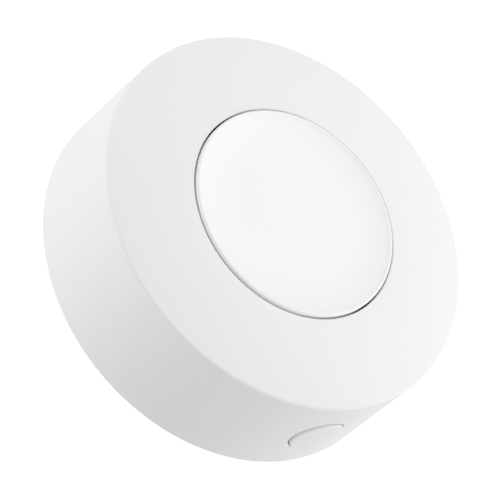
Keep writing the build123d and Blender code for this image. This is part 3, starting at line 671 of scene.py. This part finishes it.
def makeCap():
    radius, floor, rim = cap["radius"], cap["dishFloor"], cap["dishFloor"] + cap["rimRise"]
    inner, underside, base = radius - cap["skirtWall"], cap["underside"], cap["skirtBase"]
    # Two arcs that run into each other, with slopes in radians
    start, bend, end = (cap["dishFlat"], floor), (cap["dishEdge"], floor + cap["dishRise"]), (radius, rim)
    bendSlope = 2 * math.atan2(bend[1] - start[1], bend[0] - start[0])
    chordSlope = math.atan2(end[1] - bend[1], end[0] - bend[0])
    dishRadius = math.dist(start, bend) / (2 * math.sin(bendSlope / 2))
    edgeRadius = math.dist(bend, end) / (2 * math.sin(chordSlope - bendSlope))
    rimTurn = 90 + math.degrees(2 * chordSlope - bendSlope)
    clear = cap["rimRound"] * math.tan(math.radians(rimTurn) / 2)
    dish = arcPoints(start, bend, dishRadius, cap["dishSteps"], -1)
    dish += [bend] + arcPoints(bend, end, edgeRadius, cap["edgeSteps"], -1, clear)
    flat = [(cap["dishFlat"] * share, floor) for share in cap["flatShares"]]
    outline = flat + dish + [(radius, rim), (radius, base), (inner, base), (inner, underside), (0, underside)]
    piece = drawOutline("mainButton", outline, closed=False)
    roundCorner(radius, rim, cap["rimRound"], rimTurn, cap["rimSteps"])
    turnRound()

    added = [roundSolid("capBoss", cap["bossRadius"], cap["bossBase"], underside + cap["bossSink"])]
    cuts = []
    ribLength = 2 * radius - cap["skirtWall"]
    ribMiddle = underside - cap["ribDepth"] / 2 + sink / 2
    for size in ((ribLength, cap["ribWidth"]), (cap["ribWidth"], ribLength)):
        added.append(boxSolid("rib", (*size, cap["ribDepth"] + sink), (0, 0, ribMiddle)))
    reach, lead = radius + cap["hookReach"], cap["hookLead"]
    hook = [
        (inner, base + sink), (radius, base + sink), (radius, cap["hookTop"]), (reach, cap["hookTop"]),
        (reach, cap["hookBase"] + lead), (reach - lead, cap["hookBase"]), (inner, cap["hookBase"]),
    ]
    slot = rectangle(inner - overrun, radius + overrun, base - overrun, base + cap["slotDepth"])
    for angle in cap["hookAngles"]:
        added.append(sectorSolid("hook", hook, angle, cap["hookSweep"]))
        for side in (-1, 1):
            middle = angle + side * (cap["hookSweep"] + cap["slotSweep"]) / 2
            cuts.append(sectorSolid("armSlot", slot, middle, cap["slotSweep"], cap["slotSteps"]))
    guide = rectangle(inner, radius + cap["keyReach"], base, cap["keyTop"])
    added.append(sectorSolid("guideKey", guide, cap["keyAngle"], cap["keySweep"]))
    combine(piece, cuts, "DIFFERENCE")
    combine(piece, added, "UNION")
    finishPiece(piece, "main_button", "main_button", "cap_white", "capWhite")


makeCap()


# Side key

key = {
    "radius": 3.0, "height": 6.8, "edgeRound": 0.2,
    "rimSteps": 4, "faceRings": 8, "ringVertices": 88,
    "flange": (8.0, 7.4), "flangeCorner": 0.8, "cornerSteps": 6,
    "flangeFront": 20.412, "flangeBack": 19.612,  # distances of its faces from the button's axis
    "stemEnd": 19.112, "stemRadius": 1.5,
}


def makeSideKey():
    # Rings from the middle of the face out, over its rounded rim and back to the flange
    radius, rounding, rings = key["radius"], key["edgeRound"], key["faceRings"]
    plan = [((radius - rounding) * ring / rings, keyFaceRadius) for ring in range(1, rings + 1)]
    plan += edgeRings(radius, rounding, keyFaceRadius, key["rimSteps"], 1)
    centre = (0, -keyFaceRadius * mm, key["height"] * mm)
    deselectAll()
    bpy.ops.mesh.primitive_circle_add(
        vertices=key["ringVertices"], radius=plan[0][0] * mm, fill_type="TRIFAN",
        location=centre, rotation=(quarterTurn, 0, 0),
    )
    settle(bpy.context.object)
    piece = editNew("sideButton")
    pickBy("VERT")
    pickAll()
    layOnWall(keyFaceRadius)
    pickOpenEdges()
    growRings(plan[0][0], plan[1:], centre)
    bpy.ops.mesh.extrude_edges_move()
    flangeMiddle = -(key["flangeFront"] + key["flangeBack"]) / 2
    with openMesh() as mesh:
        for vert in mesh.verts:
            if vert.select:
                vert.co.y = flangeMiddle * mm
    bpy.ops.mesh.edge_face_add()
    closeSeams()

    # Flange behind the wall, and the stem that meets the switch
    flangeWall = key["flangeFront"] - key["flangeBack"]
    flangeWidth, flangeHeight = key["flange"]
    flange = boxSolid("flange", (flangeWidth, flangeWall, flangeHeight), (0, flangeMiddle, key["height"]))
    with openMesh() as mesh:
        for edge in mesh.edges:
            along = edge.verts[1].co - edge.verts[0].co
            edge.select_set(abs(along.y) > along.length / 2)
    bpy.ops.mesh.bevel(offset=key["flangeCorner"] * mm, segments=key["cornerSteps"], affect="EDGES")
    closeSeams()
    stem = roundSolid("stem", key["stemRadius"], key["stemEnd"], key["flangeBack"] + sink)
    stem.rotation_euler.x = quarterTurn
    stem.location = Vector((0, -key["stemEnd"], key["height"])) * mm
    combine(piece, [flange, stem], "UNION")
    finishPiece(piece, "side_button", "side_button", "housing_white", "housingWhite")


makeSideKey()


# Rear cover

cover = {
    "radius": 20.7, "thickness": 1.4, "edgeBreak": 0.2, "flatRing": 10.0,
    "skirtOuter": 17.9, "skirtInner": 16.9, "skirtTop": 3.4,
    "ringOuter": 9.0, "ringInner": 8.0, "ringTop": 1.65,
    "lugAngles": (90, 210, 330), "lugSweep": 20, "lugRadius": 18.9, "lugBase": 2.6, "lugSink": 0.5,
    "slotLength": 15.0, "slotWidth": 2.0, "slotDepth": 0.8, "slotEdge": 0.2, "slotVertices": 64,
    "pointerTip": 19.5, "pointerLength": 2.0, "pointerWidth": 2.0, "pointerDepth": 0.25,
}


def makeCoinSlot():
    # A stadium with flared edges at its mouth, to be cut out of the cover
    half, radius, edge = cover["slotLength"] / 2, cover["slotWidth"] / 2, cover["slotEdge"]
    mouth = radius + 2 * edge
    deselectAll()
    bpy.ops.mesh.primitive_circle_add(
        vertices=cover["slotVertices"], radius=mouth * mm, fill_type="NGON", location=(0, 0, -edge * mm)
    )
    piece = editNew("coinSlot")
    extrudeUp(2 * edge)
    bpy.ops.transform.resize(value=(radius / mouth, radius / mouth, 1))
    extrudeUp(cover["slotDepth"] - edge)
    with openMesh() as mesh:
        for vert in mesh.verts:
            if abs(vert.co.x) > mergeReach * mm:
                vert.co.x += math.copysign(half - radius, vert.co.x) * mm
    closeSeams()
    return piece


def makePointer():
    # A flat arrow, to be cut out of the cover: a box with its far side drawn together
    tip, length, depth = cover["pointerTip"], cover["pointerLength"], cover["pointerDepth"]
    piece = boxSolid("pointer", (length, cover["pointerWidth"], 2 * depth), (tip - length / 2, 0, 0))
    with openMesh() as mesh:
        for vert in mesh.verts:
            if vert.co.x > 0:
                vert.co.y = 0
    closeSeams()
    return piece


def makeCover():
    radius, thickness, edge = cover["radius"], cover["thickness"], cover["edgeBreak"]
    top = cover["skirtTop"]
    outline = [
        (0, 0), (cover["flatRing"], 0), (radius - edge, 0), (radius, edge), (radius, thickness),
        (cover["skirtOuter"], thickness), (cover["skirtOuter"], top),
        (cover["skirtInner"], top), (cover["skirtInner"], thickness),
        (cover["ringOuter"], thickness), (cover["ringOuter"], cover["ringTop"]),
        (cover["ringInner"], cover["ringTop"]), (cover["ringInner"], thickness), (0, thickness),
    ]
    piece = drawOutline("rearCover", outline, closed=False)
    turnRound()
    # The flat outer face becomes one face, ready for the slot
    with openMesh() as mesh:
        for face in mesh.faces:
            face.select = all(abs(vert.co.z) < mergeReach * mm for vert in face.verts)
    pickBy("FACE")
    bpy.ops.mesh.dissolve_faces()
    pickBy("VERT")
    lug = rectangle(cover["skirtOuter"] - cover["lugSink"], cover["lugRadius"], cover["lugBase"], top)
    lugs = [sectorSolid("lug", lug, angle, cover["lugSweep"]) for angle in cover["lugAngles"]]
    pointer = makePointer()
    combine(piece, lugs, "UNION")
    combine(piece, [makeCoinSlot(), pointer], "DIFFERENCE")
    finishPiece(piece, "rear_cover", "rear_cover", "housing_white", "housingWhite")


makeCover()
print("outside pieces made")


# Inside: the CAD nodes keep their shapes and get their finishes

def dressNode(node, material):
    for materialSlot in frame["nodes"][node].material_slots:
        materialSlot.material = material


plainFinishes = {
    "frameWhite": ["inner_frame"],
    "switchBlack": ["main_switch_base", "main_switch_plunger", "side_switch_base", "side_switch_plunger"],
    "switchSteel": ["main_switch_cover", "side_switch_cover"],
    "tinnedMetal": ["main_switch_terminals", "side_switch_terminals"],
    "cellSteel": ["cell_can", "cell_cap"],
    "gasketNatural": ["cell_gasket"],
    "anodeMetal": ["cell_anode"],
    "springMetal": ["positive_contact", "negative_contact"],
    "chipBlack": ["radio_chip"],
    "screwSteel": ["frame_screws"],
}
for finishName, nodeNames in plainFinishes.items():
    for nodeName in nodeNames:
        dressNode(nodeName, finishes[finishName])


# Snap domes of the two switches

domes = {
    "sheet": 0.1,
    "arcSteps": 10,
    "turnSteps": 72,
    "kinds": [  # each with its joint and the way its crown points
        ("mainSwitchDome", "main_switch_dome", "main_plunger_press", (0, 0, 1)),
        ("sideSwitchDome", "side_switch_dome", "side_plunger_press", (0, -1, 0)),
    ],
}


def makeDome(name, node, joint, crown):
    # A cap of sprung sheet as high as its node's box, with its crown pointing the given way
    low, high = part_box(node)
    crown = Vector(crown)
    height = abs((high - low).dot(crown))
    foot = (low + high) / 2 - crown * height / 2
    radius, wall, steps = (high.x - low.x) / 2 / mm, domes["sheet"], domes["arcSteps"]
    rise = height / mm - wall
    bend = (radius**2 + rise**2) / (2 * rise)
    outline = [(0, rise + wall)] + arcPoints((0, rise + wall), (radius, wall), bend, steps)
    outline += [(radius, wall), (radius, 0)] + arcPoints((radius, 0), (0, rise), bend, steps) + [(0, rise)]
    piece = drawOutline(name, outline, closed=False)
    turnRound(domes["turnSteps"])
    piece.rotation_euler = crown.to_track_quat("Z", "Y").to_euler()
    piece.location = foot
    finishPiece(piece, frame["nodes"][node]["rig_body"], node, "steel", "switchSteel")
    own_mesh(piece)
    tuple(crown)


for domeKind in domes["kinds"]:
    makeDome(*domeKind)


# Circuit board

board = {
    "mask": (0.030, 0.20, 0.085), "maskOverCopper": (0.045, 0.275, 0.118), "tin": (0.72, 0.72, 0.69),
    "laminate": (0.52, 0.46, 0.27), "laminateShade": (0.364, 0.322, 0.189),
    "tracksPerMetre": 1250, "trackShare": 0.36, "copperDepth": 0.02, "copperStrength": 0.5,
    "cellsPerMetre": 210, "cellSkew": 0.35,
    "turnedShare": 0.5,  # of the cells, those whose tracks run along Y
    "plainShare": 0.72,  # of the cells, those that aren't all copper
    "viasPerMetre": 420, "viaShare": 0.16, "noViaShare": 0.6, "viaMetal": 0.9,
    "weavePerMetre": 5000.0, "weaveDetail": 2.0,
    "edgeBand": 0.35,  # bare laminate at the rim, in millimetres
    "wallFacing": 0.5,  # a face that looks up or down by less than this is a drilled wall
    "rough": 0.22, "edgeRough": 0.75,
}


def makeBoardMaterial():
    # Solder mask with copper tracks under it, small tinned vias, and the bare laminate at the rim
    material, tree = newMaterial("boardGreen")
    coordinates = addNode(tree, "TexCoord").outputs
    place = coordinates["Object"]
    split = separate(tree, place)

    # Each square cell of the board runs its tracks one way or the other
    inputs = {"Vector": place, "Scale": board["cellsPerMetre"], "Randomness": board["cellSkew"]}
    square = addNode(tree, "TexVoronoi", inputs, voronoi_dimensions="2D", distance="CHEBYCHEV")
    pick = separate(tree, square.outputs["Color"], "Color")
    alongX = calculate(tree, "GREATER_THAN", pick[0], board["turnedShare"])
    alongY = calculate(tree, "SUBTRACT", 1.0, alongX)
    tracks = []
    for way, axis in ((alongX, "Y"), (alongY, "X")):
        scaled = calculate(tree, "MULTIPLY", split[axis], board["tracksPerMetre"])
        track = calculate(tree, "LESS_THAN", calculate(tree, "FRACT", scaled), board["trackShare"])
        tracks.append(calculate(tree, "MULTIPLY", way, track))
    copper = highest(tree, *tracks, calculate(tree, "GREATER_THAN", pick[1], board["plainShare"]))
    colour = blendColours(tree, copper, opaque(board["mask"]), opaque(board["maskOverCopper"]))

    # Vias, in the cells that have one
    inputs = {"Vector": place, "Scale": board["viasPerMetre"]}
    dots = addNode(tree, "TexVoronoi", inputs, voronoi_dimensions="2D")
    chance = separate(tree, dots.outputs["Color"], "Color")[0]
    near = calculate(tree, "LESS_THAN", dots.outputs["Distance"], board["viaShare"] / 2)
    via = calculate(tree, "MULTIPLY", near, calculate(tree, "GREATER_THAN", chance, board["noViaShare"]))
    colour = blendColours(tree, via, colour, opaque(board["tin"]))

    # The rim and the drilled walls show the laminate
    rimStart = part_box("circuit_board")[1].x - board["edgeBand"] * mm
    rim = calculate(tree, "GREATER_THAN", fromAxis(tree, place), rimStart)
    upright = calculate(tree, "ABSOLUTE", separate(tree, coordinates["Normal"])["Z"])
    raw = highest(tree, rim, calculate(tree, "LESS_THAN", upright, board["wallFacing"]))
    weave = noiseOver(tree, place, board["weavePerMetre"], board["weaveDetail"])
    laminate = blendColours(tree, weave, opaque(board["laminateShade"]), opaque(board["laminate"]))
    setShader(tree, {
        "Base Color": blendColours(tree, raw, colour, laminate),
        "Metallic": calculate(tree, "MULTIPLY", via, board["viaMetal"]),
        "Roughness": spreadRange(tree, raw, (0.0, 1.0), board["rough"], board["edgeRough"]),
    }, copper, board["copperDepth"], board["copperStrength"])
    return material


dressNode("circuit_board", makeBoardMaterial())


# What is in the cell

pellet = {
    # The lighter grain colour below is a painted glint
    "grain": (0.030, 0.030, 0.032), "paintedGlint": 0.13, "grainsPerMetre": 5200, "dullShare": 0.86,
    "rough": (0.6, 0.9), "depth": 0.05,
}
sheet = {
    "pale": (0.93, 0.93, 0.91), "dark": (0.78, 0.78, 0.75), "toneRange": (0.45, 0.72),
    "fibresPerMetre": 2400, "fibreDetail": 3.0, "fibreRoughness": 0.7,
    "fibreWays": (10, 70, 130), "fibreStretch": (0.12, 1, 1),
    "roughRange": (0.4, 0.8), "rough": (0.95, 0.7), "depth": 0.02,
}


def makePelletMaterial():
    # Pressed powder: packed grains, some of them lighter in colour as a painted glint
    material, tree = newMaterial("cathodePellet")
    inputs = {"Vector": overObject(tree), "Scale": pellet["grainsPerMetre"]}
    grains = addNode(tree, "TexVoronoi", inputs)
    pick = separate(tree, grains.outputs["Color"], "Color")
    # Painted glint: grains past the dull share get a lighter colour that stands in for their sparkle
    paintedGlint = calculate(tree, "GREATER_THAN", pick[0], pellet["dullShare"])
    setShader(tree, {
        "Base Color": blendColours(tree, paintedGlint, opaque(pellet["grain"]), opaque(pellet["paintedGlint"])),
        "Roughness": spreadRange(tree, pick[1], (0.0, 1.0), *pellet["rough"]),
    }, grains.outputs["Distance"], pellet["depth"])
    return material


def makeSeparatorMaterial():
    # Unwoven sheet: fibres that lie three ways over one another
    material, tree = newMaterial("separatorSheet")
    place = overObject(tree)
    noise = (sheet["fibresPerMetre"], sheet["fibreDetail"], sheet["fibreRoughness"])
    layers = []
    for angle in sheet["fibreWays"]:
        inputs = {"Vector": place, "Rotation": (0, 0, math.radians(angle)), "Scale": sheet["fibreStretch"]}
        layers.append(noiseOver(tree, addNode(tree, "Mapping", inputs).outputs[0], *noise))
    fibres = highest(tree, *layers)
    tone = spreadRange(tree, fibres, sheet["toneRange"])
    setShader(tree, {
        "Base Color": blendColours(tree, tone, opaque(sheet["dark"]), opaque(sheet["pale"])),
        "Roughness": spreadRange(tree, fibres, sheet["roughRange"], *sheet["rough"]),
    }, fibres, sheet["depth"])
    return material


dressNode("cell_cathode", makePelletMaterial())
dressNode("cell_separator", makeSeparatorMaterial())


# Marked parts on the board

crystalLook = {
    "lid": ((0.84, 0.84, 0.82), (0.66, 0.66, 0.63), (900, 22000, 22000), 0, 900, (0.22, 0.36)),
    "ceramic": (0.20, 0.18, 0.17), "lidDrop": 0.01, "depth": 0.002,
}
lightLook = {
    "package": ((0.90, 0.89, 0.82), (0.837, 0.8277, 0.7626), 20000.0, (0.2, 0.34)), "depth": 0.001,
    "phosphor": (0.86, 0.68, 0.16), "lensRadius": 0.31, "lensRough": 0.04,
}
bulkLook = {
    "body": ((0.74, 0.46, 0.12), (0.62, 0.36, 0.08), 14000.0, (0.36, 0.5), 600.0), "depth": 0.003,
    "band": (0.24, 0.10, 0.03), "bandShare": 0.18,
}


def makeCrystalMaterial():
    # Metal lid on a ceramic base
    material, tree = newMaterial("crystalCan")
    low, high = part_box("crystal")
    lidStart = (low.z + high.z) / 2 - crystalLook["lidDrop"] * mm
    lid = calculate(tree, "GREATER_THAN", separate(tree, overObject(tree))["Z"], lidStart)
    effect = metalEffect(tree, *crystalLook["lid"])
    colour = blendColours(tree, lid, opaque(crystalLook["ceramic"]), effect["Colour"])
    setEffect(tree, effect, crystalLook["depth"], {"Base Color": colour, "Metallic": lid})
    return material


def makeLightMaterial():
    # White package with the phosphor behind a clear lens
    material, tree = newMaterial("ledPackage")
    low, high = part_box("status_led")
    middle = ((low.x + high.x) / 2, (low.y + high.y) / 2, 0)
    flat = calculateVector(tree, "MULTIPLY", overObject(tree), (1, 1, 0))
    away = calculateVector(tree, "DISTANCE", flat, middle)
    inLens = calculate(tree, "LESS_THAN", away, lightLook["lensRadius"] * mm)
    effect = grainEffect(tree, *lightLook["package"])
    colour = blendColours(tree, inLens, effect["Colour"], opaque(lightLook["phosphor"]))
    coat = {"Coat Weight": inLens, "Coat Roughness": lightLook["lensRough"]}
    setEffect(tree, effect, lightLook["depth"], {"Base Color": colour, **coat})
    return material


def makeBulkMaterial():
    # Moulded block with a dark band at its positive end
    material, tree = newMaterial("capacitorOrange")
    low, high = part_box("bulk_capacitor")
    bandEnd = low.x + (high.x - low.x) * bulkLook["bandShare"]
    band = calculate(tree, "LESS_THAN", separate(tree, overObject(tree))["X"], bandEnd)
    effect = grainEffect(tree, *bulkLook["body"])
    colour = blendColours(tree, band, effect["Colour"], opaque(bulkLook["band"]))
    setEffect(tree, effect, bulkLook["depth"], {"Base Color": colour})
    return material


dressNode("crystal", makeCrystalMaterial())
dressNode("status_led", makeLightMaterial())
dressNode("bulk_capacitor", makeBulkMaterial())


# Two ended chips, whose metal ends are a material of their own

chips = {
    "endShare": 0.2,  # of the length, at each end
    "edgeBreak": 0.03,
    "edgeSteps": 2,
    "edgeAngle": 40,  # sharper edges than this are broken
    "flatAngle": 1,
    "endSlack": 0.009,
    "kinds": [
        ("chipAntenna", "chip_antenna", "ceramic_blue", "ceramicBlue"),
        ("chipCapacitors", "chip_capacitors", "capacitor_tan", "ceramicTan"),
        ("chipResistors", "chip_resistors", "chip_black", "chipBlack"),
        ("chipInductor", "chip_inductor", "ceramic_blue", "ceramicBlue"),
    ],
}


def islandsOf(mesh):
    # The loose parts of a mesh, each as a list of faces
    left = set(mesh.faces)
    while left:
        queue = [left.pop()]
        island = []
        while queue:
            face = queue.pop()
            island.append(face)
            for edge in face.edges:
                for neighbour in edge.link_faces:
                    if neighbour in left:
                        left.remove(neighbour)
                        queue.append(neighbour)
        yield island


def makeChips(name, node, slot, finishName):
    # A copy of the node with its corners merged and its edges broken, then its ends in metal
    activate(frame["nodes"][node])
    bpy.ops.object.duplicate()
    piece = bpy.context.object
    piece.name = name
    for label in list(piece.keys()):
        del piece[label]
    activate(piece)
    bpy.ops.mesh.customdata_custom_splitnormals_clear()
    setMode("EDIT")
    pickBy("VERT")
    pickAll()
    bpy.ops.mesh.remove_doubles(threshold=mergeReach * mm)
    bpy.ops.mesh.dissolve_limited(angle_limit=math.radians(chips["flatAngle"]))
    bpy.ops.mesh.normals_make_consistent(inside=False)
    setMode("OBJECT")
    edges = piece.modifiers.new("Broken edges", "BEVEL")
    edges.width = chips["edgeBreak"] * mm
    edges.segments = chips["edgeSteps"]
    edges.limit_method = "ANGLE"
    edges.angle_limit = math.radians(chips["edgeAngle"])
    bpy.ops.object.modifier_apply(modifier=edges.name)
    finishPiece(piece, frame["nodes"][node]["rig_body"], node, slot, finishName)
    piece.data.materials.append(finishes["tinnedMetal"])
    mesh = bmesh.new()
    mesh.from_mesh(piece.data)
    for island in islandsOf(mesh):
        corners = [vert.co for face in island for vert in face.verts]
        low = [min(corner[axis] for corner in corners) for axis in range(2)]
        high = [max(corner[axis] for corner in corners) for axis in range(2)]
        along = 0 if high[0] - low[0] > high[1] - low[1] else 1
        reach = (high[along] - low[along]) * (0.5 - chips["endShare"]) - chips["endSlack"] * mm
        for face in island:
            away = abs(face.calc_center_median()[along] - (low[along] + high[along]) / 2)
            face.material_index = 1 if away > reach else 0
    mesh.to_mesh(piece.data)
    mesh.free()


for chipKind in chips["kinds"]:
    makeChips(*chipKind)
print("inside dressed")


# Stage: floor, world, lamps and camera

stage = {
    "floorHalf": 1.5, "floorDrop": 0.00002, "floorTone": 0.4,
    "floorLift": 0.8,  # brightens the floor to white where nothing shades it
    "skyStrength": 0.514, "backdrop": 1.0,
}
softLamps = {
    "distance": 0.5,
    "width": 0.36,
    "places": {  # azimuth, elevation and watts of each
        "leftLamp": (-120, 2, 1.091),
        "frontLamp": (30, 12, 0.821),
        "rightLamp": (105, 50, 1.078),
    },
}
view = {
    "azimuth": -61.8, "elevation": 47.1, "roll": 50.0, "distance": 415.2,
    "aimHeight": 8.44, "slideRight": -1.19, "slideUp": -0.91,
    "lens": 274.5, "sensor": 36, "clip": (0.01, 10),  # the last in metres
}


def directionTo(azimuth, elevation):
    # Unit vector from the button, azimuth 0 being the side key's own
    side, up = math.radians(azimuth), math.radians(elevation)
    return Vector((math.sin(side) * math.cos(up), -math.cos(side) * math.cos(up), math.sin(up)))


def seenBy(tree, *rays):
    # 1 for the rays that are named, and 0 for the others
    path = addNode(tree, "LightPath").outputs
    return highest(tree, *[path[ray] for ray in rays])


def mixShaders(tree, mask, first, second, output):
    mix = addNode(tree, "MixShader", {0: mask, 1: first, 2: second})
    wire(tree, mix.outputs[0], tree.nodes[output].inputs["Surface"])


def makeFloor():
    # Pale floor that shows only to the camera and in gloss, takes the shadow, and is clear from below
    deselectAll()
    bpy.ops.mesh.primitive_plane_add(size=2 * stage["floorHalf"], location=(0, 0, -stage["floorDrop"]))
    floor = bpy.context.object
    floor.name = "floor"
    material, tree = newMaterial("paleFloor")
    shader = tree.nodes["Principled BSDF"]
    looks = {"Base Color": opaque(stage["floorTone"]), "Roughness": 1.0, "Specular IOR Level": 0.0,
             "Emission Color": white, "Emission Strength": stage["floorLift"]}
    for label, value in looks.items():
        shader.inputs[label].default_value = value
    clear = addNode(tree, "BsdfTransparent").outputs[0]
    below = addNode(tree, "NewGeometry").outputs["Backfacing"]
    above = calculate(tree, "GREATER_THAN", seenBy(tree, "Is Camera Ray", "Is Glossy Ray"), below)
    mixShaders(tree, above, clear, shader.outputs[0], "Material Output")
    floor.data.materials.append(material)


def makeWorld():
    world = bpy.data.worlds.new("studio")
    bpy.context.scene.world = world
    world.use_nodes = True
    tree = world.node_tree
    light = tree.nodes["Background"]
    light.inputs["Color"].default_value = white
    light.inputs["Strength"].default_value = stage["skyStrength"]
    backdrop = addNode(tree, "Background", {"Color": white, "Strength": stage["backdrop"]})
    seen = seenBy(tree, "Is Camera Ray", "Is Glossy Ray", "Is Transmission Ray")
    mixShaders(tree, seen, light.outputs[0], backdrop.outputs[0], "World Output")


def makeLamp(name, azimuth, elevation, watts):
    deselectAll()
    towards = directionTo(azimuth, elevation)
    bpy.ops.object.light_add(type="AREA", location=towards * softLamps["distance"])
    lamp = bpy.context.object
    lamp.name = name
    lamp.data.shape = "DISK"
    lamp.data.size = softLamps["width"]
    lamp.data.energy = watts
    lamp.visible_camera = False
    lamp.rotation_euler = towards.to_track_quat("Z", "Y").to_euler()


def makeCamera():
    back = directionTo(view["azimuth"], view["elevation"])
    level = directionTo(view["azimuth"] + 90, 0)
    lean = back.cross(level)
    roll = math.radians(view["roll"])
    right = level * math.cos(roll) + lean * math.sin(roll)
    up = lean * math.cos(roll) - level * math.sin(roll)
    aim = Vector((0, 0, view["aimHeight"] * mm))
    place = aim + (back * view["distance"] + right * view["slideRight"] + up * view["slideUp"]) * mm
    bpy.ops.object.camera_add(location=place)
    camera = bpy.context.object
    camera.rotation_euler = Matrix((right, up, back)).transposed().to_euler()
    camera.data.lens = view["lens"]
    camera.data.sensor_width = view["sensor"]
    camera.data.clip_start, camera.data.clip_end = view["clip"]
    bpy.context.scene.camera = camera


makeFloor()
makeWorld()
for name, place in softLamps["places"].items():
    makeLamp(name, *place)
makeCamera()
bpy.context.scene.view_settings.view_transform = "Standard"
print("stage made")
